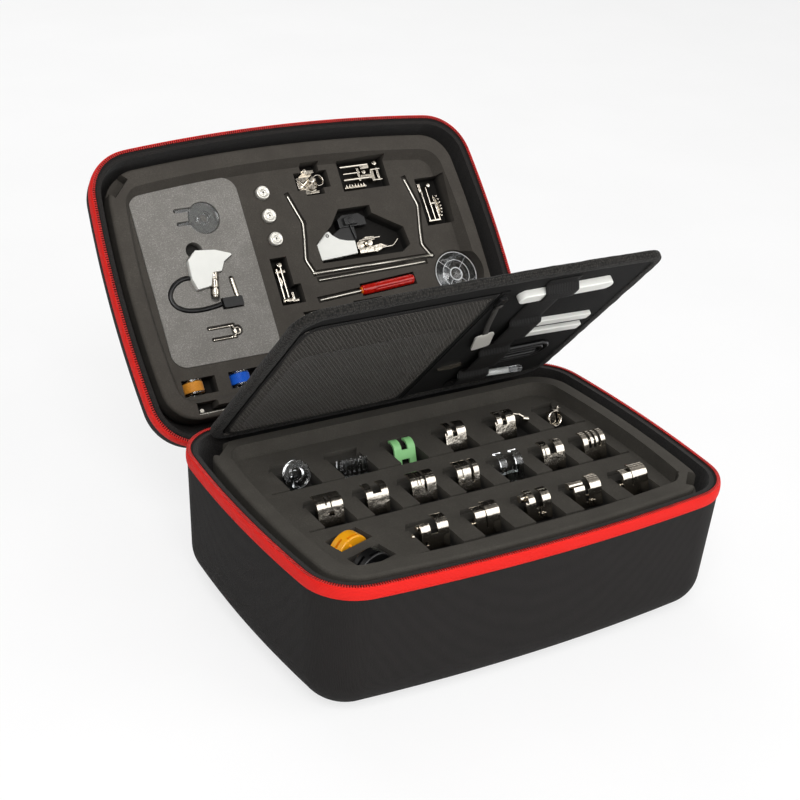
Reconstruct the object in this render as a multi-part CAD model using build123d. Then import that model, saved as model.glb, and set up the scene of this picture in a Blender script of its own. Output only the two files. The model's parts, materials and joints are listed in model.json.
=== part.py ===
# Sewing machine attachment case, drawn open as it stands in use.
# Millimetres, +Z up. The origin is the centre of the base's flat bottom and the lid hinges at the back, +Y.
# The lid and the divider are each built in a frame of their own, face up, and then turned into place.
from build123d import *

import os
from copy import copy
from math import atan2, cos, degrees, hypot, pi, radians, sin, tan

from numpy import array, linalg

# ---- driving dimensions of the case
case_width = 380.0          # between the corners of the rim, along X
case_depth = 265.0          # between the corners of the rim, along Y
corner_radius = 43.0
front_bow = 11.0            # how far the front wall bulges past its corners
side_bow = 8.0              # the same for the two side walls; the back wall is straight
base_height = 121.0         # floor to the zip line
lid_height = 44.0
draft_angle = 3.3           # the walls lean in away from the rim
base_edge_radius = 32.0     # rounding between the walls and the bottom
lid_edge_radius = 28.0
shell_wall = 4.5
lining_wall = 3.3
skin_gap = 0.2              # shell to lining, and other pieces that are glued together
soft_gap = 0.3              # foam to what it holds

# ---- zip
tape_height = 12.0
tape_thickness = 1.3
teeth_width = 3.0
teeth_height = 2.0
zip_end = 118.0             # the zip stops this far from the centre along the back wall
slider_length = 11.0
slider_width = 8.0
slider_thickness = 3.4
slider_pull_length = 18.0
slider_pull_width = 6.0
slider_pull_thickness = 1.2
slider_drop = 3.2           # top of the parked slider below the zip line

# ---- lid hinge: a fabric spine glued to both back walls
lid_open_angle = 130.0
hinge_drop = 15.0           # fold line below the zip line
spine_thickness = 1.5
spine_end_gap = 4.0         # spine to the ends of the zip
spine_base_leg = 20.0
spine_lid_leg = 30.0
spine_clearance = 0.25

# ---- divider: a padded board on a fabric strip
divider_angle = 48.6        # above level, when open
divider_closed_gap = 4.0    # closed board above the foam rim of the base
divider_arm = 12.0          # board's underside from its turning axis
divider_axis_inset = 27.5   # turning axis in front of the back wall's rim line
divider_side_gap = 21.0     # board inside the rim's corners, on each side
divider_shift = 1.0         # the board sits slightly to the right
divider_front_gap = 11.5    # closed board's free edge behind the front rim
divider_back = 6.0          # board behind the axis
divider_bow = 5.0
divider_left_radius = 25.0  # free corners
divider_right_radius = 16.0
divider_back_radius = 22.0
binding_width = 9.0
binding_thickness = 7.0
board_thickness = 3.0
board_recess = 2.0          # board's underside above the binding's underside
strip_thickness = 1.2
strip_side_gap = 24.0       # strip inside the board's sides
strip_drop = 24.0           # length of the strip's leg on the back wall
strip_bend = 4.0            # the bend's start below the board's edge

# ---- foam trays
tray_side_gap = 16.0        # tray's corners inside the rim's, on each side
tray_front_gap = 14.5
tray_back_gap = 23.0
tray_radius = 32.0
tray_bow = 7.0
tray_front_bow = 9.5
rim_width = 13.0
rim_front_extra = 1.5
recess_radius = 20.0
base_rim_drop = 3.0         # foam rim below the zip line
base_recess = 13.0
base_recess_taper = 5.0
base_tray_height = 38.0
lid_rim_drop = 8.5
lid_recess = 11.0
lid_recess_taper = 30.0
lid_tray_height = 20.0
lid_plinth_inset = 14.0
tray_rim_round = 3.0
notch_width = 22.0          # finger notches in two corners of the trays
notch_depth = 12.0
notch_side_inset = 4.0
notch_end_inset = 6.0

# ---- presser feet in the base tray
row_fronts = (-93.0, -29.0, 34.0)       # front edge of each row of pockets
row_starts = (-64.0, -121.0, -118.0)    # centre of each row's first pocket
row_pitches = (49.5, 43.5, 52.0)
pocket_length = 33.0
pocket_depth = 11.5
pocket_side_gap = 3.0
ledge_depth = 4.0
ledge_length = 9.0
ledge_slip = 2.8            # the ledge's ends lean to the right by twice this
lever_room = 12.0           # the walking foot's pocket is longer for its lever
groove_width = 2.6
groove_depth = 2.2
groove_left_gap = 24.0      # ends of the grooves inside the tray's corners
groove_right_gap = 11.0
foot_height = 24.5
foot_plate = 1.4
foot_lean = 20.0
foot_setback = 2.5          # sole in front of the middle of its pocket
toe_radius = 10.0
toe_curl = 95.0             # how far the toes roll back
bridge_drop = 5.0           # a bridged foot's gap ends this far below its toes
pin_radius = 1.1
over = 1.0                  # cuts run at least this far past what they cut

# ---- widths that follow from these
tray_corner_width = case_width - 2 * tray_side_gap
tray_front = case_depth / 2 - tray_front_gap
tray_back = case_depth / 2 - tray_back_gap
divider_width = case_width - 2 * divider_side_gap
divider_front = case_depth - divider_axis_inset - divider_front_gap     # axis to the board's free edge
strip_length = divider_width - 2 * strip_side_gap
spine_length = 2 * (zip_end - spine_end_gap)


def outline(width, front, back, radius, bow, side):
    """Face of a rounded plan: bowed front at -Y, bowed sides, straight back."""
    w = width / 2
    mid = (back - front) / 2
    edges = [
        ThreePointArc((-w, -front), (0, -front - bow), (w, -front)),
        ThreePointArc((w, -front), (w + side, mid), (w, back)),
        Line((w, back), (-w, back)),
        ThreePointArc((-w, back), (-w - side, mid), (-w, -front)),
    ]
    face = make_face(Curve() + edges)
    return fillet(face.vertices(), radius)


def case_outline(inset):
    half = case_depth / 2 - inset
    return outline(case_width - 2 * inset, half, half, corner_radius - inset, front_bow, side_bow)


def dish(inset, height, edge_radius):
    """Closed block of one half of the case: rim plane at Z 0, end at +Z, walls leaning in."""
    solid = extrude(case_outline(inset), amount=height - inset, taper=draft_angle)
    return fillet(solid.faces().sort_by(Axis.Z)[-1].edges(), edge_radius - inset)


def slab(low, high):
    """Everything between two levels, for trimming."""
    size = 3 * case_width
    return Pos(0, 0, low) * Box(size, size, high - low, align=(Align.CENTER, Align.CENTER, Align.MIN))


def block(x0, x1, y0, y1, z0, z1):
    """Box given by its limits."""
    return Pos(x0, y0, z0) * Box(x1 - x0, y1 - y0, z1 - z0, align=(Align.MIN, Align.MIN, Align.MIN))


def prism(points, low, high):
    """Straight-sided block over a closed polygon of (x, y) points."""
    face = make_face(Polyline(*points, close=True))
    return Pos(0, 0, low) * extrude(face, amount=high - low)


def rod(start, end, radius):
    """Round bar between two points."""
    span = Vector(*end) - Vector(*start)
    plane = Plane(origin=start, z_dir=span)
    return extrude(plane * Circle(radius), amount=span.length)


bend_share = 0.45           # part of the shorter run that a bend takes up


def corner_radii(points):
    """Radius for each corner of a route, from its shorter run and its turn."""
    radii = []
    for before, here, after in zip(points, points[1:], points[2:]):
        run_in = Vector(*here) - Vector(*before)
        run_out = Vector(*after) - Vector(*here)
        turn = run_in.get_angle(run_out)
        radii.append(bend_share * min(run_in.length, run_out.length) / tan(radians(turn) / 2))
    return radii


def bent_rod(points, radius, radii=None):
    """Round bar along straight runs joined by tangent arcs."""
    path = FilletPolyline(*points, radius=radii or corner_radii(points))
    profile = Plane(origin=path @ 0, z_dir=path % 0) * Circle(radius)
    return sweep(profile, path=path)


# ---- places: the lid and the divider are built face up and turned
rim_level = base_height
hinge_y = case_depth / 2 + spine_clearance + spine_thickness / 2
hinge_z = base_height - hinge_drop
face_up = Rotation(180, 0, 0)
lid_place = (
    Pos(0, hinge_y, hinge_z) * Rotation(-lid_open_angle, 0, 0) * Pos(0, -hinge_y, rim_level - hinge_z) * face_up
)
base_rim = base_height - base_rim_drop
divider_axis_y = case_depth / 2 - divider_axis_inset
divider_under = base_rim + divider_closed_gap
divider_axis_z = divider_under - divider_arm
divider_place = (
    Pos(0, divider_axis_y, divider_axis_z) * Rotation(-divider_angle, 0, 0) * Pos(0, 0, divider_arm) * face_up
)

nodes = {}


def keep(name, shape):
    """One named piece of the assembly, in the place where it rests."""
    nodes[name] = shape


def keep_in_lid(name, shape):
    nodes[name] = lid_place * shape


def keep_on_divider(name, shape):
    nodes[name] = divider_place * shape


# ---- base: moulded shell, lining, zip
def base_half(inset):
    return Pos(0, 0, rim_level) * mirror(dish(inset, base_height, base_edge_radius), about=Plane.XY)


def lid_half(inset):
    return mirror(mirror(dish(inset, lid_height, lid_edge_radius), about=Plane.XZ), about=Plane.XY)


shell_rim = teeth_height
lining_inset = shell_wall + skin_gap
inner_inset = lining_inset + lining_wall


def zip_ring(half, outer, inner, low, high):
    """Band round the case between two levels and two insets, open along the back where the spine is."""
    ring = half(outer) - half(inner)
    ring = ring & slab(low, high)
    back = block(-zip_end, zip_end, case_depth / 2 - corner_radius, case_depth, low - over, high + over)
    return ring - back


base_outer = base_half(0)
keep("base_shell", (base_outer - base_half(shell_wall)) & slab(0, rim_level - shell_rim))
keep("base_lining", (base_half(lining_inset) - base_half(inner_inset)) & slab(0, rim_level - shell_rim))
keep(
    "base_zip_tape",
    zip_ring(base_half, -skin_gap - tape_thickness, -skin_gap, rim_level - tape_height, rim_level - shell_rim),
)
keep(
    "base_zip_teeth",
    zip_ring(base_half, -skin_gap, teeth_width, rim_level - shell_rim + skin_gap, rim_level - skin_gap),
)

# ---- base: lower foam block and upper tray
block_top = base_rim - base_tray_height - skin_gap
keep("lower_foam_block", base_half(inner_inset + soft_gap) & slab(0, block_top))


def tray_outline(inset, front_extra=0.0):
    radius = recess_radius if inset else tray_radius
    return outline(
        tray_corner_width - 2 * inset,
        tray_front - inset - front_extra,
        tray_back - inset,
        radius,
        tray_front_bow,
        tray_bow,
    )


def tray(height, recess, taper):
    """Foam tray: rim at Z 0, recessed field below it."""
    body = Pos(0, 0, -height) * extrude(tray_outline(0), amount=height)
    body = fillet(body.faces().sort_by(Axis.Z)[-1].edges(), tray_rim_round)
    field = tray_outline(rim_width, rim_front_extra)
    hollow = mirror(extrude(field, amount=recess, taper=taper), about=Plane.XY)
    return body - hollow - extrude(field, amount=over)


field_level = -base_recess
pocket_floor = field_level - pocket_depth

# each foot: kind, width, needle gap width, gap place, depth of the gap below the toes
standard_feet = {
    0: [("open", 25, 7, -1, 13), ("open", 22, 3, 2, 11), ("bridged", 24, 6, 1, 12), ("open", 27, 3, -2, 14),
        ("wide", 24, 2, 0, 10)],
    1: [("bridged", 23, 4, 2, 12), ("open", 20, 8, 0, 9), ("bridged", 23, 4, -1, 12), ("open", 21, 7, 1, 13),
        ("clear", 22, 9, 0, 14), ("bridged", 22, 6, 0, 12), ("wide", 23, 3, 1, 13)],
    2: [("ring", 24, 12, 0, 0), ("comb", 26, 2, 0, 11), ("block", 21, 6, 0, 8), ("open", 21, 5, 1, 13),
        ("lever", 20, 4, 0, 12), ("ring_metal", 17, 9, 0, 0)],
}


def on_arc(turn):
    """Point (y, z) on the sole where it has rolled back by an angle."""
    bend = radians(turn)
    return (toe_radius * (1 - cos(bend)), foot_height - toe_radius + toe_radius * sin(bend))


def foot_sole(width):
    """Sole plate standing on its heel, toes curling back at the top."""
    knee = on_arc(0)
    curl = ThreePointArc(knee, on_arc(toe_curl / 2), on_arc(toe_curl))
    face = Plane.YZ * trace(Curve() + [Line((0, foot_plate / 2), knee), curl], foot_plate)
    return Pos(-width / 2, 0, 0) * extrude(face, amount=width)


ear_inset = 5.0
ear_depth = 8.0
ear_low = 3.0
ear_high = 13.0
ear_thickness = 1.2
pin_inset = 2.5             # cross pin in from the ears' back edge
pin_overhang = 2.0
side_plate_width = 2.4
side_plate_low = 4.0
side_plate_drop = 8.0
lever_radius = 0.9
lever_start = 6.0
lever_reach = 11.0
lever_drop = 5.0
ring_depth = 4.0
stem_width = 4.0
stem_front = 1.5
stem_depth = 6.0
stem_low = 1.0
stem_over = 3.0             # stem above the ring's middle
comb_height = 15.0
comb_depth = 6.0
comb_teeth = 6
buttonhole_height = 20.0
buttonhole_depth = 9.0
buttonhole_radius = 3.0
buttonhole_notch = 5.0


def ring_foot(width, bore):
    """Upright ring in front of a square stem."""
    radius = width / 2
    ring = Cylinder(radius, ring_depth) - Cylinder(bore / 2, ring_depth + over)
    ring = Pos(0, 0, radius) * Rotation(90, 0, 0) * ring
    half = stem_width / 2
    return ring + block(-half, half, stem_front, stem_front + stem_depth, stem_low, radius + stem_over)


def comb_foot(width, gap, gap_depth):
    """Block with upright teeth."""
    half = comb_depth / 2
    deep = half + over
    low = comb_height - gap_depth
    body = block(-width / 2, width / 2, -half, half, 0, comb_height)
    step = width / comb_teeth
    for index in range(1, comb_teeth):
        x = -width / 2 + index * step
        body -= block(x - gap / 2, x + gap / 2, -deep, deep, low, comb_height + over)
    return body


def buttonhole_foot(width, gap, gap_place, gap_depth):
    """Rounded block with a notch from above and one from below."""
    body = Pos(0, 0, buttonhole_height / 2) * Box(width, buttonhole_depth, buttonhole_height)
    body = fillet(body.edges().filter_by(Axis.Y), buttonhole_radius)
    deep = buttonhole_depth / 2 + over
    for low, high in ((buttonhole_height - gap_depth, buttonhole_height + over), (-over, buttonhole_notch)):
        body -= block(gap_place - gap / 2, gap_place + gap / 2, -deep, deep, low, high)
    return body


def toed_foot(kind, width, gap, gap_place, gap_depth):
    """Curled sole with a needle gap, two ears behind it and their cross pin."""
    shape = foot_sole(width)
    high = foot_height - bridge_drop if kind == "bridged" else foot_height + foot_plate
    low = foot_height - gap_depth
    shape -= block(gap_place - gap / 2, gap_place + gap / 2, -foot_plate - over, 2 * toe_radius, low, high)
    for side in (-1, 1):
        x = side * (width / 2 - ear_inset)
        shape += block(x - ear_thickness / 2, x + ear_thickness / 2, 0, ear_depth, ear_low, ear_high)
    pin_y = ear_depth - pin_inset
    pin_z = (ear_low + ear_high) / 2
    half = width / 2 - ear_inset + pin_overhang
    shape += rod((-half, pin_y, pin_z), (half, pin_y, pin_z), pin_radius)
    if kind == "wide":
        edge = -width / 2
        shape += block(edge - side_plate_width, edge + foot_plate / 2, -foot_plate / 2, foot_plate / 2,
                       side_plate_low, foot_height - side_plate_drop)
    if kind == "lever":
        lever_end = (width / 2 + lever_reach, stem_front, foot_height - lever_drop)
        shape += rod((width / 2 - lever_start, pin_y, pin_z), lever_end, lever_radius)
    return shape


def foot(kind, width, gap, gap_place, gap_depth):
    """One presser foot, heel at Z 0, sole towards -Y."""
    if kind in ("ring", "ring_metal"):
        return ring_foot(width, gap)
    if kind == "comb":
        return comb_foot(width, gap, gap_depth)
    if kind == "block":
        return buttonhole_foot(width, gap, gap_place, gap_depth)
    return toed_foot(kind, width, gap, gap_place, gap_depth)


# the moulded feet stand apart from the metal ones, which are kept row by row
moulded_feet = {
    (1, 4): "clear_feet",
    (2, 0): "clear_feet",
    (2, 1): "clear_feet",
    (2, 2): "green_buttonhole_foot",
}
groove_left = groove_left_gap - tray_corner_width / 2
groove_right = tray_corner_width / 2 - groove_right_gap
feet_by_node = {}
tray_cut = Part()
for row, kinds in standard_feet.items():
    front = row_fronts[row]
    back = front + pocket_length
    for index, (kind, width, gap, gap_place, gap_depth) in enumerate(kinds):
        x = row_starts[row] + index * row_pitches[row]
        left = x - width / 2 - pocket_side_gap
        right = x + width / 2 + pocket_side_gap
        pocket_end = right + lever_room if kind == "lever" else right
        tray_cut += block(left, pocket_end, front, back, pocket_floor, 0)
        ledge = [
            (left - ledge_slip, back), (right - ledge_slip, back),
            (right + ledge_slip, back + ledge_length), (left + ledge_slip, back + ledge_length),
        ]
        tray_cut += prism(ledge, field_level - ledge_depth, 0)
        turned = Rotation(-foot_lean, 0, 0) * foot(kind, width, gap, gap_place, gap_depth)
        low = turned.bounding_box().min.Z
        stand_y = (front + back) / 2 - foot_setback
        seated = Pos(x, stand_y, base_rim + pocket_floor + soft_gap - low) * turned
        name = moulded_feet.get((row, index), "metal_feet_row_%d" % (row + 1))
        feet_by_node.setdefault(name, []).append(seated)
    tray_cut += block(groove_left, groove_right, front - groove_width / 2, front + groove_width / 2,
                      field_level - groove_depth, 0)

# ---- the two domed plastic feet at the front left, lying on their sides
dome_places = {"orange_foot": (-128.0, -51.0, 16.0), "black_foot": (-124.5, -80.0, 14.0)}
dome_radius = 15.5
dome_height = 10.0
dome_thickness = 12.0
dome_edge = 1.5
dome_slot = 2.2
dome_slot_low = 1.5
dome_step = 4.0             # depth of the step in the crown
dome_pin_x = -4.0
dome_pin_level = 3.5
dome_pin_overhang = 2.0
dome_pocket_gap = 1.5
dome_pocket_room = 3.5      # pocket past each flat side, for the pin ends
dome_pocket_depth = 5.5


def domed_foot():
    """Half-moon body with a stepped slot under its crown and two pin ends."""
    arch = make_face(Curve() + [
        ThreePointArc((-dome_radius, 0), (0, dome_height), (dome_radius, 0)),
        Line((dome_radius, 0), (-dome_radius, 0)),
    ])
    half = dome_thickness / 2
    body = Pos(0, half, 0) * (Plane.XZ * extrude(arch, amount=dome_thickness))
    body = fillet(body.edges().filter_by(GeomType.CIRCLE), dome_edge)
    top = dome_height + over
    third = dome_radius / 3
    body -= block(-dome_radius, -dome_radius / 2, -dome_slot / 2, dome_slot / 2, dome_slot_low, top)
    body -= block(-third, third, -2 * dome_slot, -dome_slot, dome_height - dome_step, top)
    reach = half + dome_pin_overhang
    body += rod((dome_pin_x, -reach, dome_pin_level), (dome_pin_x, reach, dome_pin_level), pin_radius)
    return body


for name, (x, y, turn) in dome_places.items():
    place = Pos(x, y, 0) * Rotation(0, 0, turn)
    long_side = dome_radius + dome_pocket_gap
    short_side = dome_thickness / 2 + dome_pocket_room
    seat = field_level - dome_pocket_depth
    tray_cut += place * block(-long_side, long_side, -short_side, short_side, seat, 0)
    keep(name, Pos(0, 0, base_rim + seat + soft_gap) * place * domed_foot())


def notch_cut(side_x, side_y):
    """Finger notch through the tray's rim at one corner."""
    reach = tray_corner_width / 2 - notch_side_inset
    edge = (tray_front if side_y < 0 else tray_back) - notch_end_inset
    cutter = Rotation(0, 0, 45) * Box(notch_width, notch_width, 2 * notch_depth)
    return Pos(side_x * reach, side_y * edge, 0) * cutter


foam_tray = tray(base_tray_height, base_recess, base_recess_taper) - tray_cut
foam_tray -= notch_cut(1, -1)
foam_tray -= notch_cut(-1, 1)
keep("foam_tray", Pos(0, 0, base_rim) * foam_tray)
for name, shapes in feet_by_node.items():
    keep(name, shapes[0] if len(shapes) == 1 else Compound(children=shapes))

# ---- zip sliders, parked on the base's tape beside the spine
tape_face = case_depth / 2 + skin_gap + tape_thickness


slider_end_gap = 1.0        # parked slider past the zip's end
slider_corner = 1.2
bail_width = 2.4            # bail over the slider that carries its pull
bail_height = 0.9
bail_top_gap = 3.0
pull_radius = 2.4
pull_overlap = 2.0          # pull's top behind the bail


def case_slider(side):
    """Slider body with its pull hanging down the tape."""
    x = side * (zip_end + slider_width / 2 + slider_end_gap)
    top = rim_level - slider_drop
    bottom = top - slider_length
    y = tape_face + soft_gap
    face = y + slider_thickness
    body = block(x - slider_width / 2, x + slider_width / 2, y, face, bottom, top)
    body = fillet(body.edges().filter_by(Axis.Z), slider_corner)
    body += block(x - bail_width / 2, x + bail_width / 2, face - bail_height / 2, face + bail_height,
                  bottom + slider_end_gap, top - bail_top_gap)
    pull_y = y + slider_pull_thickness
    pull = block(x - slider_pull_width / 2, x + slider_pull_width / 2, pull_y, pull_y + slider_pull_thickness,
                 bottom - slider_pull_length, bottom + pull_overlap)
    pull = fillet(pull.edges().filter_by(Axis.Y).group_by(Axis.Z)[0], pull_radius)
    return body + pull


keep("zip_slider_left", case_slider(-1))
keep("zip_slider_right", case_slider(1))

# ---- lid: shell, lining, zip, in the lid's own frame (rim plane Z 0, inside towards +Z, front +Y)
lid_outer = lid_half(0)
lid_depth = slab(-lid_height - over, -shell_rim)
keep_in_lid("lid_shell", (lid_outer - lid_half(shell_wall)) & lid_depth)
keep_in_lid("lid_lining", (lid_half(lining_inset) - lid_half(inner_inset)) & lid_depth)


def lid_ring(outer, inner, low, high):
    ring = (lid_half(outer) - lid_half(inner)) & slab(low, high)
    back = block(-zip_end, zip_end, -case_depth, -case_depth / 2 + corner_radius, low - over, high + over)
    return ring - back


keep_in_lid("lid_zip_tape", lid_ring(-skin_gap - tape_thickness, -skin_gap, -tape_height, -shell_rim))
keep_in_lid("lid_zip_teeth", lid_ring(-skin_gap, teeth_width, -shell_rim + skin_gap, -skin_gap))

# ---- lid: foam tray with its pockets
lid_field = -lid_rim_drop - lid_recess


def lid_pocket(points, depth):
    return prism(points, lid_field - depth, lid_field + lid_recess + over)


def rect(x0, x1, y0, y1):
    return [(x0, y0), (x1, y0), (x1, y1), (x0, y1)]


insert_width = 105.0
insert_height = 167.0
insert_radius = 14.0
insert_thickness = 14.0
insert_centre = (-103.0, 22.5)
insert_step = 0.6           # insert stands this far above the dark foam
slot_gap = 1.5              # pocket wall to the piece in it

big_pocket = [(45, 61), (79, 61), (79, 53), (108, 35), (110, 17), (100, 11), (14, 12), (13, 31), (33, 46)]
plus_pocket = [(10, 84), (10, 101), (18, 101), (18, 109), (37, 109), (37, 101), (45, 101), (45, 84), (37, 84),
               (37, 78), (18, 78), (18, 84)]
column_pocket = [(-38, -21), (-14, -21), (-14, -3), (-21, -3), (-21, 24), (-38, 24)]
ruffler_pocket = rect(57, 107, 77, 107)
hook_pocket = rect(135, 163, 32, 80)
clip_pockets = [rect(-20, 11, -41, -30), rect(33, 64, -38, -28)]
bobbin_pockets = [rect(-153, -121, -86.5, -71.5), rect(-108, -76, -86.5, -71.5)]
needle_pocket = [(-149, -105.5), (-84, -105.5), (-84, -100), (-129, -100), (-129, -94.5), (-149, -94.5)]
big_pocket_depth = 15.0
metal_pocket_depth = 12.0
column_pocket_depth = 13.0
clip_pocket_depth = 9.0
bobbin_sink = 15.0
needle_pocket_depth = 7.0
pocket_plan = [
    (big_pocket, big_pocket_depth), (plus_pocket, metal_pocket_depth), (column_pocket, column_pocket_depth),
    (ruffler_pocket, metal_pocket_depth), (hook_pocket, metal_pocket_depth), (clip_pockets[0], clip_pocket_depth),
    (clip_pockets[1], clip_pocket_depth), (bobbin_pockets[0], bobbin_sink), (bobbin_pockets[1], bobbin_sink),
    (needle_pocket, needle_pocket_depth),
]

insert_plate = Pos(*insert_centre, 0) * RectangleRounded(insert_width, insert_height, insert_radius)
insert_hole = Pos(*insert_centre, 0) * RectangleRounded(
    insert_width + 2 * soft_gap, insert_height + 2 * soft_gap, insert_radius + soft_gap
)
lid_tray = tray(lid_tray_height, lid_recess, lid_recess_taper)
lid_tray = Pos(0, 0, -lid_rim_drop) * mirror(lid_tray, about=Plane.XZ)
plinth_depth = lid_height - inner_inset - lid_rim_drop - soft_gap
plinth_face = mirror(tray_outline(lid_plinth_inset), about=Plane.XZ)
plinth = extrude(plinth_face, amount=lid_tray_height - plinth_depth)
lid_tray += Pos(0, 0, -lid_rim_drop - lid_tray_height) * plinth
lid_tray -= Pos(0, 0, lid_field - insert_thickness) * extrude(insert_hole, amount=insert_thickness + over)
for points, depth in pocket_plan:
    lid_tray -= lid_pocket(points, depth)

# the wire frame, its cross rod and the disc lie in narrow slots
wire_radius = 1.3
wire_depth = 3.0
wire_level = lid_field - wire_depth + soft_gap + wire_radius
wire_left = [(-2, 81), (6, 53), (3, 38), (-2, 18), (3, 4)]
wire_right = [(124.5, 82), (131, 54), (125.5, 31), (122.5, 15), (129, 3)]
wire_slot = 5.4
cross_rod = [(6, -3), (120, -2)]
cross_rod_radius = 1.1
cross_rod_depth = 2.8


def run_between(start, end):
    """Middle of the run between two flat points, its turn in degrees and its length."""
    step = (end[0] - start[0], end[1] - start[1])
    middle = ((start[0] + end[0]) / 2, (start[1] + end[1]) / 2)
    return middle, degrees(atan2(step[1], step[0])), hypot(*step)


def slot_along(points, width, depth):
    """Open slot of one width along a run of points, cut upwards past the foam's field."""
    shape = Part()
    for start, end in zip(points, points[1:]):
        middle, turn, length = run_between(start, end)
        bar = Pos(*middle, lid_field - depth) * Rotation(0, 0, turn) * Box(
            length + width, width, depth + 4 * over, align=(Align.CENTER, Align.CENTER, Align.MIN)
        )
        shape += bar
    return shape


handle_middle = (74.5, -17.5)
driver_drop = 2.5           # the screwdriver's axis below the foam's field
driver_turn = 3.0
handle_length = 57.0
handle_radius = 4.6
blade_length = 45.0
blade_radius = 1.5


def driver_point(along):
    """Point on the screwdriver's axis, counted from the middle of its handle."""
    return (
        handle_middle[0] + along * cos(radians(driver_turn)),
        handle_middle[1] + along * sin(radians(driver_turn)),
    )


handle_reach = handle_length / 2 - handle_radius
handle_slot = [driver_point(-handle_reach), driver_point(handle_reach)]
blade_slot = [driver_point(-handle_length / 2 - blade_length), driver_point(-handle_length / 2)]
lid_tray -= slot_along(handle_slot, 2 * (handle_radius + slot_gap), driver_drop + handle_radius + soft_gap)
lid_tray -= slot_along(blade_slot, 2 * (blade_radius + slot_gap), driver_drop + blade_radius + soft_gap)

frame_slot = slot_along(wire_left, wire_slot, wire_depth) + slot_along(wire_right, wire_slot, wire_depth)
frame_slot += slot_along([wire_left[-1], wire_right[-1]], wire_slot, wire_depth)
frame_slot += slot_along(cross_rod, wire_slot, cross_rod_depth)
lid_tray -= frame_slot

disc_centre = (150.0, -19.0)
disc_radius = 22.5
disc_ring = 2.2
disc_hub = 6.5
disc_thickness = 2.0
lid_tray -= Pos(*disc_centre, lid_field - disc_thickness) * Cylinder(
    disc_radius + slot_gap, disc_thickness + lid_recess + over, align=(Align.CENTER, Align.CENTER, Align.MIN)
)

knob_x = -27.0
knob_heights = (86.0, 63.5, 41.0)
knob_radius = 6.5
knob_height = 9.0
knob_sink = 5.0
for y in knob_heights:
    lid_tray -= Pos(knob_x, y, lid_field - knob_sink) * Cylinder(
        knob_radius + soft_gap, knob_sink + over, align=(Align.CENTER, Align.CENTER, Align.MIN)
    )


lid_notches = mirror(notch_cut(-1, -1) + notch_cut(1, 1), about=Plane.XZ)
lid_tray -= Pos(0, 0, -lid_rim_drop) * lid_notches
keep_in_lid("lid_foam_tray", lid_tray)

# ---- lid: light insert with the sensor set
insert_top = lid_field + insert_step
insert_floor = 4.0          # depth of its cut-outs
snug_gap = 0.8              # wall of a cut-out to the piece in it
seat = insert_top - insert_floor + soft_gap
lead_radius = 1.8
lead_level = insert_top - 1.2
disc_foot_centre = (-89.5, 71.0)
disc_foot_radius = 14.5
disc_foot_bore = 4.0
disc_foot_thickness = 2.5
hub_radius = 6.0
hub_wall = 1.6
hub_height = 5.0
prong_offsets = (9.5, -3.0)
prong_width = 2.4
prong_start = -25.5
prong_end = -10.0
sensor_plan = [
    (-117.5, 33), (-108.5, 41), (-90, 39), (-74, 33), (-84, 27.5), (-89, 19), (-97.5, 19), (-102.5, 7),
    (-115.5, 5.5), (-118.5, 16),
]
sensor_thickness = 8.0
sensor_corner = 1.2
fork_left, fork_right, fork_low, fork_high = -114.5, -83.5, -42.0, -29.0
fork_bar = 2.4
fork_thickness = 3.0
fork_eye = 4.2
fork_eye_bore = 2.2
fork_step = 2.0             # the lower prong is this much shorter
fork_eye_x = fork_right - fork_eye
fork_neck = fork_eye_x - fork_eye + fork_bar / 2
finger_hole = (-107.5, 42.0)
finger_hole_radius = 8.0
finger_hole_depth = 9.0
lead_points = [
    (-106, 13, lead_level), (-114, 17.5, lead_level), (-125, 18.5, lead_level), (-135.5, 14, lead_level),
    (-142, 5, lead_level), (-140, -5, lead_level), (-130.5, -11, lead_level), (-117, -12.5, lead_level),
    (-104, -11.5, lead_level), (-95.5, -10, lead_level),
]
plug_box = (-95, -76, -14.5, -5.5)
plug_height = 7.0
plug_corner = 2.0
jack_base = (-79.0, -5.2)
jack_length = 17.0
jack_radius = 1.75
jack_lean = 4.0
barrel_top = (-95.0, 20.0)
barrel_bottom = (-100.0, -3.0)
barrel_level = 3.8          # barrel's axis above the cut-outs' floor
barrel_radius = 3.6
barrel_clear = 0.1
lean = radians(jack_lean)
jack_end = (jack_base[0] - jack_length * sin(lean), jack_base[1] + jack_length * cos(lean))


def strip(start, end, width):
    """Flat band round the line between two points, with round ends and a snug gap all round."""
    middle, turn, length = run_between(start, end)
    wide = width + 2 * snug_gap
    return Pos(*middle) * Rotation(0, 0, turn) * SlotOverall(length + wide, wide)


def frame_face(x0, x1, y0, y1):
    """Flat rectangle that leaves a snug gap round the one given."""
    corners = rect(x0 - snug_gap, x1 + snug_gap, y0 - snug_gap, y1 + snug_gap)
    return make_face(Polyline(*corners, close=True))


def disc_foot_cut():
    x, y = disc_foot_centre
    shape = Pos(x, y) * Circle(disc_foot_radius + snug_gap)
    for prong_y in prong_offsets:
        level = y + prong_y
        shape += strip((x + prong_start, level), (x + prong_end, level), prong_width)
    return shape


def fork_cut():
    high = fork_high - fork_bar / 2
    low = fork_low + fork_bar / 2
    shape = strip((fork_left, high), (fork_neck, high), fork_bar)
    shape += strip((fork_left + fork_step, low), (fork_neck, low), fork_bar)
    shape += frame_face(fork_neck - fork_bar, fork_neck, fork_low, fork_high)
    shape += Pos(fork_eye_x, (fork_low + fork_high) / 2) * Circle(fork_eye + snug_gap)
    return shape


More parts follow.
